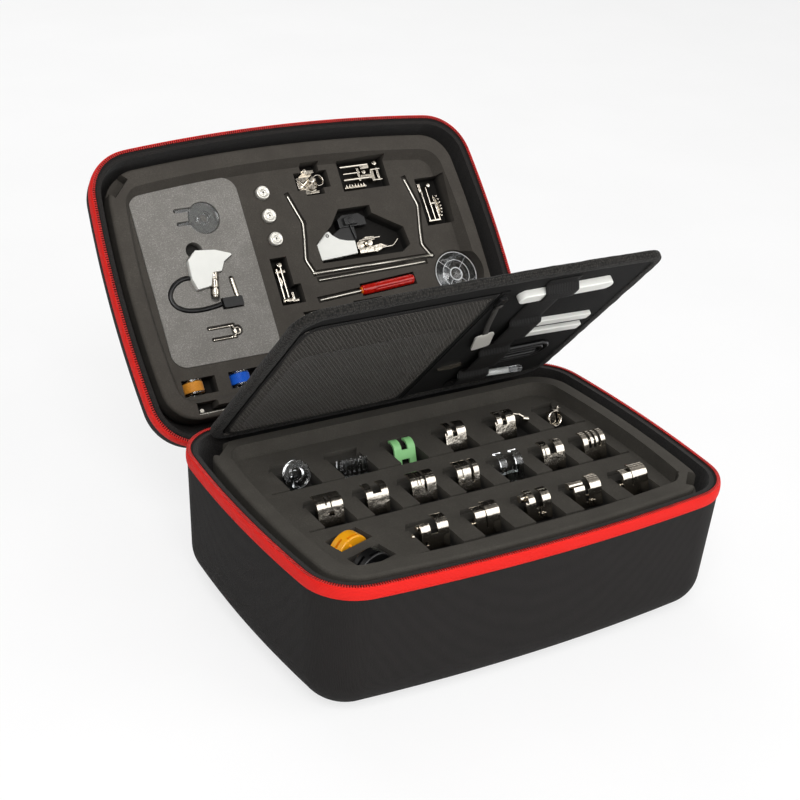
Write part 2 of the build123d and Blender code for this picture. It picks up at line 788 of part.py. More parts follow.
module_cut = offset(make_face(Polyline(*sensor_plan, close=True)), snug_gap)
insert_cuts = [
    disc_foot_cut(), module_cut, strip(barrel_top, barrel_bottom, 2 * barrel_radius), frame_face(*plug_box),
    strip(jack_base, jack_end, 2 * jack_radius), fork_cut(),
]
insert = Pos(0, 0, lid_field - insert_thickness + soft_gap) * extrude(
    insert_plate, amount=insert_thickness + insert_step - soft_gap
)
for shape in insert_cuts:
    insert -= Pos(0, 0, insert_top - insert_floor) * extrude(shape, amount=insert_floor + over)
insert -= bent_rod(lead_points, lead_radius + snug_gap)
insert -= Pos(*finger_hole, insert_top - finger_hole_depth) * Cylinder(
    finger_hole_radius, finger_hole_depth + over, align=(Align.CENTER, Align.CENTER, Align.MIN)
)
keep_in_lid("light_foam_insert", insert)


def disc_foot():
    """Clear round foot with a slotted hub and two prongs."""
    x, y = disc_foot_centre
    thick = disc_foot_thickness
    plate = Cylinder(disc_foot_radius, thick) - Cylinder(disc_foot_bore, thick + over)
    hub = Cylinder(hub_radius, hub_height) - Cylinder(hub_radius - hub_wall, hub_height + over)
    shape = Pos(x, y, seat + thick / 2) * plate + Pos(x, y, seat + hub_height / 2) * hub
    for prong_y in prong_offsets:
        low = y + prong_y - prong_width / 2
        shape += block(x + prong_start, x + prong_end, low, low + prong_width, seat, seat + thick)
    return shape


def barrel_rod(radius):
    return rod((*barrel_top, seat + barrel_level), (*barrel_bottom, seat + barrel_level), radius)


keep_in_lid("clear_disc_foot", disc_foot())
sensor = prism(sensor_plan, seat, seat + sensor_thickness)
sensor = fillet(sensor.edges().filter_by(Axis.Z), sensor_corner)
sensor -= barrel_rod(barrel_radius + barrel_clear)
sensor -= bent_rod(lead_points, lead_radius + soft_gap)
keep_in_lid("sensor_module", sensor)
keep_in_lid("sensor_clamp_barrel", barrel_rod(barrel_radius))
print("sensor lead radii", ["%.1f" % radius for radius in corner_radii(lead_points)])
keep_in_lid("sensor_lead", bent_rod(lead_points, lead_radius))
plug = fillet(block(*plug_box, seat, seat + plug_height).edges().filter_by(Axis.Z), plug_corner)
keep_in_lid("jack_plug", plug)
jack_level = seat + plug_height / 2
keep_in_lid("jack_pin", rod((*jack_base, jack_level), (*jack_end, jack_level), jack_radius))


def fork_clip():
    """Two prongs on a cross bar with an eye behind it."""
    top = seat + fork_thickness
    clip = block(fork_left, fork_neck, fork_high - fork_bar, fork_high, seat, top)
    clip += block(fork_left + fork_step, fork_neck, fork_low, fork_low + fork_bar, seat, top)
    clip += block(fork_neck - fork_bar, fork_neck, fork_low, fork_high, seat, top)
    eye = Cylinder(fork_eye, fork_thickness) - Cylinder(fork_eye_bore, fork_thickness + over)
    clip += Pos(fork_eye_x, (fork_low + fork_high) / 2, seat + fork_thickness / 2) * eye
    return clip


keep_in_lid("fork_clip", fork_clip())

# ---- lid: metal and plastic attachments in the dark foam
knob_edge = 0.8
knob_dish_radius = 3.2
knob_dish = 1.0             # depth of the dish in its top, and height of the button in it
knob_button_radius = 1.6
knob = Cylinder(knob_radius, knob_height, align=(Align.CENTER, Align.CENTER, Align.MIN))
knob = chamfer(knob.faces().sort_by(Axis.Z)[-1].edges(), knob_edge)
knob -= Pos(0, 0, knob_height) * Cylinder(knob_dish_radius, 2 * knob_dish)
knob += Pos(0, 0, knob_height) * Cylinder(knob_button_radius, 2 * knob_dish)
knobs = [Pos(knob_x, y, lid_field - knob_sink + soft_gap) * knob for y in knob_heights]
keep_in_lid("thumb_screws", Compound(children=knobs))

flute_radius = 1.6
flute_offset = 0.9          # flutes' axes outside the handle
flute_shift = 6.0
flute_margin = 16.0
flutes = 6
handle_round = 1.8
tang_length = 12.0          # blade inside the handle
tang_clear = 0.05
tip_length = 7.0
tip_half = 0.45


def screwdriver():
    """Handle and blade along X, tip at the left."""
    handle = Rotation(0, 90, 0) * Cylinder(handle_radius, handle_length)
    handle = fillet(handle.edges(), handle_round)
    for index in range(flutes):
        angle = 2 * pi * index / flutes
        reach = handle_radius + flute_offset
        place = Pos(flute_shift, reach * cos(angle), reach * sin(angle))
        handle -= place * Rotation(0, 90, 0) * Cylinder(flute_radius, handle_length - flute_margin)
    end = -handle_length / 2
    bore = rod((end - over, 0, 0), (end + tang_length, 0, 0), blade_radius + tang_clear)
    shaft = rod((end - blade_length, 0, 0), (end + tang_length - soft_gap, 0, 0), blade_radius)
    point = end - blade_length
    wide = 2 * blade_radius
    flat = block(point - over, point + tip_length, tip_half, wide, -wide, wide)
    return handle - bore, shaft - flat - mirror(flat, about=Plane.XZ)


handle, shaft = screwdriver()
driver_place = Pos(*handle_middle, lid_field - driver_drop) * Rotation(0, 0, driver_turn)
keep_in_lid("screwdriver_handle", driver_place * handle)
keep_in_lid("screwdriver_blade", driver_place * shaft)

frame_points = wire_left + wire_right[::-1]
wire = bent_rod([(x, y, wire_level) for x, y in frame_points], wire_radius)
rod_level = lid_field - cross_rod_depth + soft_gap + cross_rod_radius
rod_ends = [(x, y, rod_level) for x, y in cross_rod]
cross_bar = rod(rod_ends[0], rod_ends[1], cross_rod_radius)
keep_in_lid("wire_frame", Compound(children=[wire, cross_bar]))


disc_inner_ring = 14.3
disc_inner_wall = 1.6
disc_spoke = 1.2
disc_overlap = 1.0          # spokes run this far into the rings


def disc_guide():
    """Clear ruled disc: two rings, a hub and four spokes."""
    rings = Part()
    for radius, wall in ((disc_radius, disc_ring), (disc_inner_ring, disc_inner_wall), (disc_hub, disc_ring)):
        rings += Cylinder(radius, disc_thickness) - Cylinder(radius - wall, disc_thickness + over)
    for turn in (45, 135, 225, 315):
        rings += Rotation(0, 0, turn) * block(
            disc_hub - disc_overlap, disc_radius - disc_overlap, -disc_spoke / 2, disc_spoke / 2,
            -disc_thickness / 2, disc_thickness / 2,
        )
    return rings


keep_in_lid("clear_disc_guide", Pos(*disc_centre, lid_field - disc_thickness / 2 + soft_gap) * disc_guide())


def pocket_seat(depth):
    """Level on which a piece stands in a pocket of that depth."""
    return lid_field - depth + soft_gap


def post(x, y, low, high, radius):
    """Upright round boss."""
    return rod((x, y, low), (x, y, high), radius)


fan_thickness = 11.0
fan_corner = 1.5
fan_groove = 3.0
arm_thickness = 9.0
arm_screw_radius = 4.0
arm_screw_height = 2.4
clamp_thickness = 12.0
clamp_corner = 3.0
clamp_slot = 5.0
big_floor = pocket_seat(big_pocket_depth)
fan_plan = [(15, 15), (16, 30), (33, 43), (47, 39), (56, 30), (55, 17)]
fan = prism(fan_plan, big_floor, big_floor + fan_thickness)
fan = fillet(fan.edges().filter_by(Axis.Z), fan_corner)
fan_top = big_floor + fan_thickness
fan -= block(20, 52, 20, 24, fan_top - fan_groove, fan_top + over)
keep_in_lid("white_cutter_guard", fan)
arm_plan = [(58, 16), (58, 29), (70, 34), (92, 31), (104, 24), (98, 20), (84, 22), (76, 16)]
arm_top = big_floor + arm_thickness
arm = prism(arm_plan, big_floor, arm_top)
arm += post(66, 26, arm_top, arm_top + arm_screw_height, arm_screw_radius)
keep_in_lid("cutter_arm", arm)
clamp_top = big_floor + clamp_thickness
clamp_body = fillet(block(44, 74, 44, 57, big_floor, clamp_top).edges().filter_by(Axis.Z), clamp_corner)
clamp_body -= block(52, 66, 43, 52, clamp_top - clamp_slot, clamp_top + over)
keep_in_lid("cutter_clamp", clamp_body)


def ladder(x0, x1, y0, y1, low, thickness, rungs, bar):
    """Stamped metal foot seen from above: two rails with rungs between them."""
    shape = block(x0, x1, y0, y0 + bar, low, low + thickness)
    shape += block(x0, x1, y1 - bar, y1, low, low + thickness)
    for index in range(rungs):
        x = x0 + (x1 - x0 - bar) * index / (rungs - 1)
        shape += block(x, x + bar, y0, y1, low, low + thickness)
    return shape


metal_plate = 2.0           # thickness of the attachments' base plates
binder_height = 7.0
binder_bar = 3.0
binder_post = 3.2
ruffler_height = 10.0
ruffler_bar = 1.8
ruffler_lever = 9.0
ruffler_post = 2.6
hook_height = 8.0
hook_bar = 2.0
column_post = 3.0
metal_seat = pocket_seat(metal_pocket_depth)
metal_top = metal_seat + metal_pocket_depth
binder = ladder(14, 41, 86, 99, metal_seat, binder_height, rungs=3, bar=binder_bar)
binder += block(20, 35, 80, 106, metal_seat, metal_seat + metal_plate)
binder += post(27.5, 92, metal_seat, metal_top + over, binder_post)
keep_in_lid("binder_foot", binder)
ruffler = ladder(60, 104, 80, 88, metal_seat, ruffler_height, rungs=9, bar=ruffler_bar)
ruffler += block(60, 104, 87, 103, metal_seat, metal_seat + metal_plate)
ruffler += block(76, 90, 92, 104, metal_seat, metal_seat + ruffler_lever)
ruffler += post(98, 97, metal_seat, metal_top, ruffler_post)
keep_in_lid("ruffler_foot", ruffler)
hooks = Rotation(0, 0, 90) * ladder(36, 76, -160, -138, metal_seat, hook_height, rungs=6, bar=hook_bar)
hooks += block(153, 159, 39, 73, metal_seat, metal_top - over)
keep_in_lid("gathering_foot", hooks)
column_seat = pocket_seat(column_pocket_depth)
column_top = column_seat + column_pocket_depth
column = block(-35, -24, -18, 20, column_seat, column_seat + metal_plate)
column += block(-33, -30, -16, 18, column_seat, column_top - over)
column += block(-28, -17, -18, -8, column_seat, column_seat + hook_height)
column += post(-28.5, 12, column_seat, column_top - over, column_post)
keep_in_lid("seam_guide_foot", column)
clip_end_gap = 3.0
clip_plate = 1.6
clip_wall = 2.0
clip_wall_inset = 4.0
clip_step = 3.0
clip_step_inset = 6.0
clip_seat = pocket_seat(clip_pocket_depth)
clip_top = clip_seat + clip_pocket_depth
clips = []
for points in clip_pockets:
    x0, x1 = points[0][0] + clip_end_gap, points[1][0] - clip_end_gap
    y0, y1 = points[0][1] + slot_gap, points[2][1] - slot_gap
    clip = block(x0, x1, y0, y1, clip_seat, clip_seat + clip_plate)
    clip += block(x0 + clip_wall_inset, x0 + clip_wall_inset + clip_wall, y0, y1, clip_seat, clip_top)
    step_end = x1 - clip_step_inset
    clip += block(step_end - clip_step, step_end, y0, y1, clip_seat, clip_top - clip_wall)
    clips.append(clip)
keep_in_lid("small_clips", Compound(children=clips))

# ---- lid: two wound bobbins and a needle bar
bobbin_radius = 10.5
bobbin_width = 12.0
flange = 1.2
bobbin_core = 4.0
bobbin_bore = 3.0
thread_core = 9.1           # thread already wound, under the outer layer
thread_radius = 0.25
thread_pitch = 0.95
thread_turns = 9
thread_clear = 0.05
bobbin_axis = lid_field - bobbin_sink + soft_gap + bobbin_radius
bobbin_places = {"orange": (-142.2, -79.0), "blue": (-97.0, -79.0)}
across = Rotation(90, 0, 0)     # turns a cylinder's axis along Y


def bobbin():
    body = across * Cylinder(bobbin_core, bobbin_width)
    for side in (-1, 1):
        body += Pos(0, side * (bobbin_width / 2 - flange / 2), 0) * across * Cylinder(bobbin_radius, flange)
    return body - across * Cylinder(bobbin_bore, bobbin_width + over)


def winding_path():
    """Outer layer of thread: half turns, each leaning to climb half a pitch along the bobbin."""
    reach = thread_core + thread_radius + thread_clear
    y = -thread_turns * thread_pitch / 2
    side = 1
    edges = [Line((reach, y, -2 * thread_radius), (reach, y, 0))]
    for _ in range(2 * thread_turns):
        middle = (0, y + thread_pitch / 4, side * hypot(reach, thread_pitch / 4))
        edges.append(ThreePointArc((side * reach, y, 0), middle, (-side * reach, y + thread_pitch / 2, 0)))
        y += thread_pitch / 2
        side = -side
    edges.append(Line((reach, y, 0), (reach, y, 2 * thread_radius)))
    return Wire(edges)


def round_tube(path, radius):
    """Tube of one radius along a wire."""
    return sweep(Plane(origin=path @ 0, z_dir=path % 0) * Circle(radius), path=path)


def least_gap(path, radius, samples=2400):
    """Smallest space a tube leaves to its own neighbouring turns, taken between points along it."""
    points = array([tuple(path @ (index / samples)) for index in range(samples + 1)])
    apart = int(samples * 4 * pi * radius / path.length) + 1
    nearest = min(
        linalg.norm(points[first + apart:] - points[first], axis=1).min() for first in range(samples - apart)
    )
    return nearest - 2 * radius


bobbin_bodies = [Pos(x, y, bobbin_axis) * bobbin() for x, y in bobbin_places.values()]
keep_in_lid("bobbins", Compound(children=bobbin_bodies))
wound_width = bobbin_width - 2 * flange - 2 * skin_gap
drum_bore = Cylinder(bobbin_core + thread_clear, wound_width + over)
drum = across * (Cylinder(thread_core, wound_width) - drum_bore)
winding = winding_path()
outer_layer = round_tube(winding, thread_radius)
print("bobbin thread, least gap between its turns: %.2f mm" % least_gap(winding, thread_radius))
for colour, (x, y) in bobbin_places.items():
    winding_parts = Compound(children=[copy(drum), copy(outer_layer)])
    keep_in_lid("thread_" + colour, Pos(x, y, bobbin_axis) * winding_parts)
needle_radius = 1.6
needle_drop = 2.4           # needle bar's axis below the foam's field
needle_level = lid_field - needle_drop
needle_end = (-86.0, -102.5)
needle_tip = (-146.0, -103.3)
loop_place = (-140.5, -100.2)
loop_radius = 1.8
loop_height = 5.0
needle = rod((*needle_tip, needle_level), (*needle_end, needle_level), needle_radius)
needle += Pos(*loop_place, pocket_seat(needle_pocket_depth)) * Cylinder(
    loop_radius, loop_height, align=(Align.CENTER, Align.CENTER, Align.MIN)
)
keep_in_lid("needle_bar", needle)

# ---- divider: board, binding and strip, in its own frame (underside towards +Z, free edge +Y)


def divider_outline(inset):
    """Plan of the board; its hinge edge is at -divider_back."""
    w = divider_width / 2 - inset
    top = divider_front - inset
    low = -divider_back + inset
    edges = [
        Line((-w, low), (w, low)),
        Line((w, low), (w, top)),
        ThreePointArc((w, top), (0, top + divider_bow), (-w, top)),
        Line((-w, top), (-w, low)),
    ]
    face = make_face(Curve() + edges)
    for x, radius in ((-w, divider_left_radius), (w, divider_right_radius)):
        corner = face.vertices().sort_by_distance((x, top))[0]
        face = fillet(corner, radius - inset)
    back = face.vertices().group_by(Axis.Y)[0]
    face = fillet(back, divider_back_radius - inset)
    return Pos(divider_shift, 0, 0) * face


binding_round = 2.5
binding = Pos(0, 0, -binding_thickness) * extrude(divider_outline(0), amount=binding_thickness)
binding = fillet(binding.edges().group_by(Axis.Z)[-1], binding_round)
binding = fillet(binding.edges().group_by(Axis.Z)[0], binding_round)
middle_cut = extrude(divider_outline(binding_width), amount=binding_thickness + 2 * over)
binding -= Pos(0, 0, -binding_thickness - over) * middle_cut
keep_on_divider("divider_binding", binding)
board_top = -board_recess
board = extrude(divider_outline(binding_width + skin_gap), amount=board_thickness)
keep_on_divider("divider_board", Pos(0, 0, board_top - board_thickness) * board)

# ---- divider: mesh pocket on the left half
pocket_edge_gap = 1.0       # pocket to the binding
pocket_left = -divider_width / 2 + divider_shift + binding_width + pocket_edge_gap
pocket_right = 14.0
pocket_low = 4.0
pocket_top_gap = 18.0       # pocket to the board's free edge
pocket_high = divider_front - pocket_top_gap
pocket_radius = 14.0
pocket_hem = 6.0
net_thickness = 0.7
net_columns = 15
net_rows = 19
net_strand = 1.8
net_lift = 1.2
net_level = board_top + net_lift
net_width = pocket_right - pocket_left
net_height = pocket_high - pocket_low
net = block(pocket_left, pocket_right, pocket_low, pocket_high, net_level, net_level + net_thickness)
net = fillet(net.edges().filter_by(Axis.Z).group_by(Axis.X)[0], pocket_radius)
hole_width = (net_width - 2 * pocket_hem - (net_columns - 1) * net_strand) / net_columns
hole_height = (net_height - 2 * pocket_hem - (net_rows - 1) * net_strand) / net_rows
holes = Sketch()
for column_index in range(net_columns):
    for row_index in range(net_rows):
        corner_cell = column_index == 0 and row_index in (0, net_rows - 1)
        if corner_cell:
            continue
        x = pocket_left + pocket_hem + column_index * (hole_width + net_strand) + hole_width / 2
        y = pocket_low + pocket_hem + row_index * (hole_height + net_strand) + hole_height / 2
        holes += Pos(x, y, 0) * Rectangle(hole_width, hole_height)
net -= Pos(0, 0, net_level - over) * extrude(holes, amount=net_thickness + 2 * over)
keep_on_divider("mesh_pocket", net)
sleeve_thickness = 0.6
sleeve_margin = 13.0
sleeve_length = 140.0
sleeve_middle = 80.0
sleeve_shift = 2.0
sleeve_radius = 12.0
sleeve_plan = RectangleRounded(net_width - 2 * sleeve_margin, sleeve_length, sleeve_radius)
sleeve_x = (pocket_left + pocket_right) / 2 + sleeve_shift
sleeve = Pos(sleeve_x, sleeve_middle, board_top + soft_gap) * extrude(sleeve_plan, amount=sleeve_thickness)
keep_on_divider("pocket_sleeve", sleeve)

pocket_zip_x = 19.0
pocket_zip_width = 8.0
pocket_zip_coil = 3.2
pocket_zip_tape_top = board_top + 1.2
pocket_zip_top = board_top + 2.2
coil_end_gap = 2.0
tape_half = pocket_zip_width / 2
coil_half = pocket_zip_coil / 2
pocket_zip = block(pocket_zip_x - tape_half, pocket_zip_x + tape_half, pocket_low, pocket_high + over,
                   board_top + skin_gap, pocket_zip_tape_top)
pocket_zip += block(pocket_zip_x - coil_half, pocket_zip_x + coil_half, pocket_low + coil_end_gap,
                    pocket_high - coil_end_gap, pocket_zip_tape_top, pocket_zip_top)
keep_on_divider("pocket_zip", pocket_zip)

# slider at the closed end, with a ribbon and a cast tag that lie on the board
slider_end = 11.0           # slider's middle below the pocket's top
slider_at = pocket_high - slider_end
slider_half_length = 6.0
slider_half_width = 3.5
slider_round = 1.5
pocket_slider_height = 2.6
slider_low = pocket_zip_top + soft_gap
slider_top = slider_low + pocket_slider_height
slider = block(pocket_zip_x - slider_half_width, pocket_zip_x + slider_half_width,
               slider_at - slider_half_length, slider_at + slider_half_length, slider_low, slider_top)
keep_on_divider("pocket_zip_slider", fillet(slider.edges().filter_by(Axis.Z), slider_round))
pull_hang = (20.0, -60.0)   # from the ribbon's fold to the tag
pull_start = (pocket_zip_x, slider_at - slider_half_length - over)
pull_width = 5.0
pull_thickness = 0.9
pull_fold = 3.0             # ribbon folded down in front of the slider
fold_half = 2.0
tag_width = 17.0
tag_length = 30.0
tag_thickness = 1.4
tag_corner = 3.5
tag_level = 1.0
tag_slot = (3.2, 1.6, 6.5)  # its middle from the tag's end, its length and its width
pull_turn = degrees(atan2(pull_hang[1], pull_hang[0]))
pull_length = hypot(*pull_hang)
pull_place = Pos(*pull_start, tag_level) * Rotation(0, 0, pull_turn)
ribbon_low = slider_top + skin_gap
ribbon_top = ribbon_low + pull_thickness
pull_half = pull_width / 2
pull_place_start = Pos(*pull_start, 0)
ribbon = pull_place * block(fold_half / 2, pull_length - over, -pull_half, pull_half, 0, pull_thickness)
ribbon += pull_place_start * block(-fold_half, fold_half, -pull_fold, soft_gap, tag_level, ribbon_top)
ribbon += pull_place_start * block(-fold_half, fold_half, -pull_fold, slider_half_length, ribbon_low, ribbon_top)
keep_on_divider("pull_ribbon", ribbon)
tag = block(0, tag_length, -tag_width / 2, tag_width / 2, 0, tag_thickness)
tag = fillet(tag.edges().filter_by(Axis.Z), tag_corner)
tag -= Pos(tag_slot[0], 0, 0) * Box(tag_slot[1], tag_slot[2], 3 * tag_thickness)
keep_on_divider("pull_tag", pull_place * Pos(pull_length, 0, 0) * tag)

# ---- divider: elastic band over the hand tools on the right half
band_left = 57.5
band_right = 90.0
band_low = 12.0
band_top_gap = 11.0         # band's end to the board's free edge
band_high = divider_front - band_top_gap
band_thickness = 1.1
band_ramp = 4.0             # from the board up to a tool
tool_rest = board_top + soft_gap
band_rest = board_top + skin_gap + band_thickness / 2

spatula_end_gap = 29.0      # spatula's middle to the board's free edge
spatula_centre = (82.0, divider_front - spatula_end_gap)
spatula_size = (92.0, 12.5, 6.2)
case_centres = ((110.0, 130.0), (112.0, 109.0))
case_size = (76.0, 9.5, 3.8)
case_turn = -5.0
tube_start = (62.0, 35.0)
tube_length = 72.0
tube_radius = 3.0
tube_turn = -9.0
loop_tube = 2.1
loop_pitch = 5.2
loop_run = 20.0
loop_outer = 13.0
loop_half_turns = 4
loop_centre = (104.0, 66.0)

band_middle = (band_left + band_right) / 2
band_half = (band_right - band_left) / 2
tube_line = tube_start[1] + (band_middle - tube_start[0]) * tan(radians(tube_turn))
tube_half = tube_radius + band_half * tan(radians(-tube_turn)) + soft_gap
case_lines = [y + (band_middle - x) * tan(radians(case_turn)) for x, y in case_centres]
case_half = case_size[1] / 2 + band_half * tan(radians(-case_turn)) + soft_gap
belt_half = loop_outer + loop_tube + soft_gap
spatula_half = spatula_size[1] / 2 + soft_gap
# where the band lies over the tools: from, to, height of the tool
band_crests = (
    (tube_line - tube_half, tube_line + tube_half, 2 * tube_radius),
    (loop_centre[1] - belt_half, loop_centre[1] + belt_half, 2 * loop_tube),
    (min(case_lines) - case_half, max(case_lines) + case_half, case_size[2]),
    (spatula_centre[1] - spatula_half, spatula_centre[1] + spatula_half, spatula_size[2]),
)
band_route = [(band_low, band_rest)]
for low, high, thick in band_crests:
    crest = tool_rest + thick + soft_gap + band_thickness / 2
    band_route += [(low - band_ramp, band_rest), (low, crest), (high, crest), (high + band_ramp, band_rest)]
band_route.append((band_high, band_rest))
band_face = Plane.YZ * trace(Polyline(*band_route), band_thickness)
band = Pos(band_left, 0, 0) * extrude(band_face, amount=band_right - band_left)
keep_on_divider("elastic_band", band)


case_corner = 2.0
end_flat = 0.05             # half of the flat left between a bar's rounded corners
eased_edge = 1.1


def bar_tool(length, width, thickness, radius):
    """Flat bar with rounded plan and eased edges."""
    body = extrude(RectangleRounded(length, width, radius), amount=thickness)
    return fillet(body.edges().group_by(Axis.Z)[-1], eased_edge)


spatula = Pos(*spatula_centre, tool_rest) * bar_tool(*spatula_size, spatula_size[1] / 2 - end_flat)
cases = [
    Pos(x, y, tool_rest) * Rotation(0, 0, case_turn) * bar_tool(*case_size, case_corner) for x, y in case_centres
]
keep_on_divider("white_tools", Compound(children=[spatula, *cases]))
tube = Pos(*tube_start, tool_rest + tube_radius) * Rotation(0, 0, tube_turn) * Rotation(0, 90, 0) * Cylinder(
    tube_radius, tube_length, align=(Align.CENTER, Align.CENTER, Align.MIN)
)
keep_on_divider("needle_tube", tube)


def loop_path():
    """Flat spiral: straight runs joined by half circles that shrink steadily."""
    edges = []
    x, y = -loop_run, loop_outer
    radius = loop_outer
    direction = 1
    for _ in range(loop_half_turns):
        edges.append(Line((x, y), (direction * loop_run, y)))
        x = direction * loop_run
        next_y = y - direction * (2 * radius - loop_pitch / 2)
        middle = (x + direction * abs(y - next_y) / 2, (y + next_y) / 2)
        edges.append(ThreePointArc((x, y), middle, (x, next_y)))
        radius -= loop_pitch / 2
        y = next_y
        direction = -direction
    edges.append(Line((x, y), (x + direction * loop_run, y)))
    return edges


belt_route = Wire(loop_path())
loops = round_tube(belt_route, loop_tube)
print("spare belt, least gap between its turns: %.2f mm" % least_gap(belt_route, loop_tube))
keep_on_divider("spare_belt", Pos(*loop_centre, tool_rest + loop_tube) * loops)
blade_thickness = 1.4
blade = prism([(27, 61), (49, 66), (53, 60), (44, 55), (30, 57)], tool_rest, tool_rest + blade_thickness)
keep_on_divider("seam_ripper_blade", blade)

# ---- fabric hinges, drawn as they lie when the case is open
def beside_wall(level):
    """Middle of the spine where it is glued to the leaning back wall of a closed case."""
    lean_in = abs(level - rim_level) * tan(radians(draft_angle))
    return case_depth / 2 - lean_in + spine_clearance + spine_thickness / 2


def opened(y, z):
    """Place of a point of the closed lid once the lid stands open."""
    turn = radians(lid_open_angle)
    return (
        hinge_y + (y - hinge_y) * cos(turn) + (z - hinge_z) * sin(turn),
        hinge_z - (y - hinge_y) * sin(turn) + (z - hinge_z) * cos(turn),
    )


base_leg_end = hinge_z - spine_base_leg
lid_leg_end = hinge_z + spine_lid_leg
spine_path = Polyline(
    (beside_wall(base_leg_end), base_leg_end), (hinge_y, hinge_z), opened(hinge_y, rim_level),
    opened(beside_wall(lid_leg_end), lid_leg_end),
)
spine_face = Plane.YZ * trace(spine_path, spine_thickness)
keep("hinge_spine", Pos(-spine_length / 2, 0, 0) * extrude(spine_face, amount=spine_length))

lift = radians(divider_angle)


def divider_world(reach, height):
    """Case (y, z) of a point on the open divider: reach towards its free edge, height above its axis."""
    return (
        divider_axis_y - reach * cos(lift) + height * sin(lift),
        divider_axis_z + reach * sin(lift) + height * cos(lift),
    )


strip_end = divider_back + soft_gap + strip_thickness / 2 * cos(lift)
board_end = divider_world(-strip_end, divider_arm + binding_round)
strip_foot = board_end[1] - strip_drop
lining_face = case_depth / 2 - inner_inset - (rim_level - strip_foot) * tan(radians(draft_angle))
strip_y = lining_face - soft_gap - strip_thickness / 2
strip_path = Polyline((strip_y, strip_foot), (strip_y, board_end[1] - strip_bend), board_end)
strip_face = Plane.YZ * trace(strip_path, strip_thickness)
strip_place = Pos(-strip_length / 2 + divider_shift, 0, 0)
keep("divider_hinge_strip", strip_place * extrude(strip_face, amount=strip_length))

os.makedirs("parts", exist_ok=True)
for name, shape in nodes.items():
    export_step(shape, os.path.join("parts", name + ".step"))
print("nodes", len(nodes))
print("lid hinge y %.3f z %.3f, divider axis y %.3f z %.3f" % (hinge_y, hinge_z, divider_axis_y, divider_axis_z))
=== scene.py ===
import json
from math import cos, pi, radians, sin

import bmesh
import bpy
from mathutils import Matrix, Vector, noise
from mathutils.geometry import convex_hull_2d


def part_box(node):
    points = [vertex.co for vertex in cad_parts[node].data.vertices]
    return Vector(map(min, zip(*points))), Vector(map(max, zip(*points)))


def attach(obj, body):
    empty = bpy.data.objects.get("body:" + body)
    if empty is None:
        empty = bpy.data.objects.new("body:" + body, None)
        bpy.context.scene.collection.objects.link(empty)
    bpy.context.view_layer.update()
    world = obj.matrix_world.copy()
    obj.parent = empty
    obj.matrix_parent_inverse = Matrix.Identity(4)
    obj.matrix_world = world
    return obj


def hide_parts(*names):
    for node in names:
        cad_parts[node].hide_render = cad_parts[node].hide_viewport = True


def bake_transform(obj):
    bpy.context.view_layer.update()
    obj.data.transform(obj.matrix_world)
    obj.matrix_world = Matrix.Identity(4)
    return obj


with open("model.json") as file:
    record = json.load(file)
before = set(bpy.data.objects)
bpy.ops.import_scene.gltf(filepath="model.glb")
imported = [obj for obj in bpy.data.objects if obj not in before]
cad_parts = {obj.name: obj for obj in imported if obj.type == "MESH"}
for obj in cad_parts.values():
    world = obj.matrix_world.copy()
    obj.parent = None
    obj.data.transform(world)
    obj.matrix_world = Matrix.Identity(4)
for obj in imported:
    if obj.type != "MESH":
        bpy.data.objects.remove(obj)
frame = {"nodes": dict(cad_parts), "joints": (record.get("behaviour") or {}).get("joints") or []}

for startupName in ("Cube", "Light", "Camera"):
    startupObject = bpy.data.objects.get(startupName)
    if startupObject:
        bpy.data.objects.remove(startupObject)
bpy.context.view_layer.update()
nodes = frame["nodes"]
joints = {joint["name"]: joint for joint in frame["joints"]}
mm = 0.001
print("frame loaded:", len(nodes), "nodes")

# Places, worked out from the joints and the given levels
zipLine = 121.0          # height of the zip line, mm
trayField = 105.0        # the dark foam's cut face in the base
lidField = -19.5         # the same in the lid, in its own frame
insertFace = -19.3       # the grey foam's face in the lid
lidHinge = Vector(joints["lid_hinge"]["pos_m"]) / mm
lidAngle = radians(joints["lid_hinge"]["range_deg"][1])
dividerHinge = Vector(joints["divider_hinge"]["pos_m"]) / mm
dividerAngle = radians(joints["divider_hinge"]["range_deg"][1])
dividerUnder = 122.0     # the closed divider's underside
metres = Matrix.Scale(mm, 4)
faceUp = Matrix.Rotation(pi, 4, "X")


def turnedAbout(axisPoint, angle):
    return Matrix.Translation(axisPoint) @ Matrix.Rotation(-angle, 4, "X") @ Matrix.Translation(-axisPoint)


openLid = metres @ turnedAbout(lidHinge, lidAngle)
# in the lid X is to the right, Y up the lid and Z towards the viewer
lidPlace = openLid @ Matrix.Translation((0, 0, zipLine)) @ faceUp
# on the divider Y is towards its free edge and Z off its underside
dividerPlace = (
    metres @ turnedAbout(dividerHinge, dividerAngle)
    @ Matrix.Translation((0, dividerHinge.y, dividerUnder)) @ faceUp
)
mirrorInZip = Matrix.Translation((0, 0, 2 * zipLine)) @ Matrix.Scale(-1, 4, (0, 0, 1))


# Colours and nodes
def linear(hexColour):
    # sRGB hex to the linear colour the shader works in
    channels = [int(hexColour[i:i + 2], 16) / 255 for i in (1, 3, 5)]
    return tuple(c / 12.92 if c <= 0.04045 else ((c + 0.055) / 1.055) ** 2.4 for c in channels) + (1.0,)


def addNode(tree, kind, feeds=None, **settings):
    # one node, its settings, and what feeds each of its sockets
    node = tree.nodes.new(kind)
    for key, value in settings.items():
        setattr(node, key, value)
    for socketShade, value in (feeds or {}).items():
        if isinstance(value, bpy.types.NodeSocket):
            tree.links.new(value, node.inputs[socketShade])
        else:
            node.inputs[socketShade].default_value = value
    return node


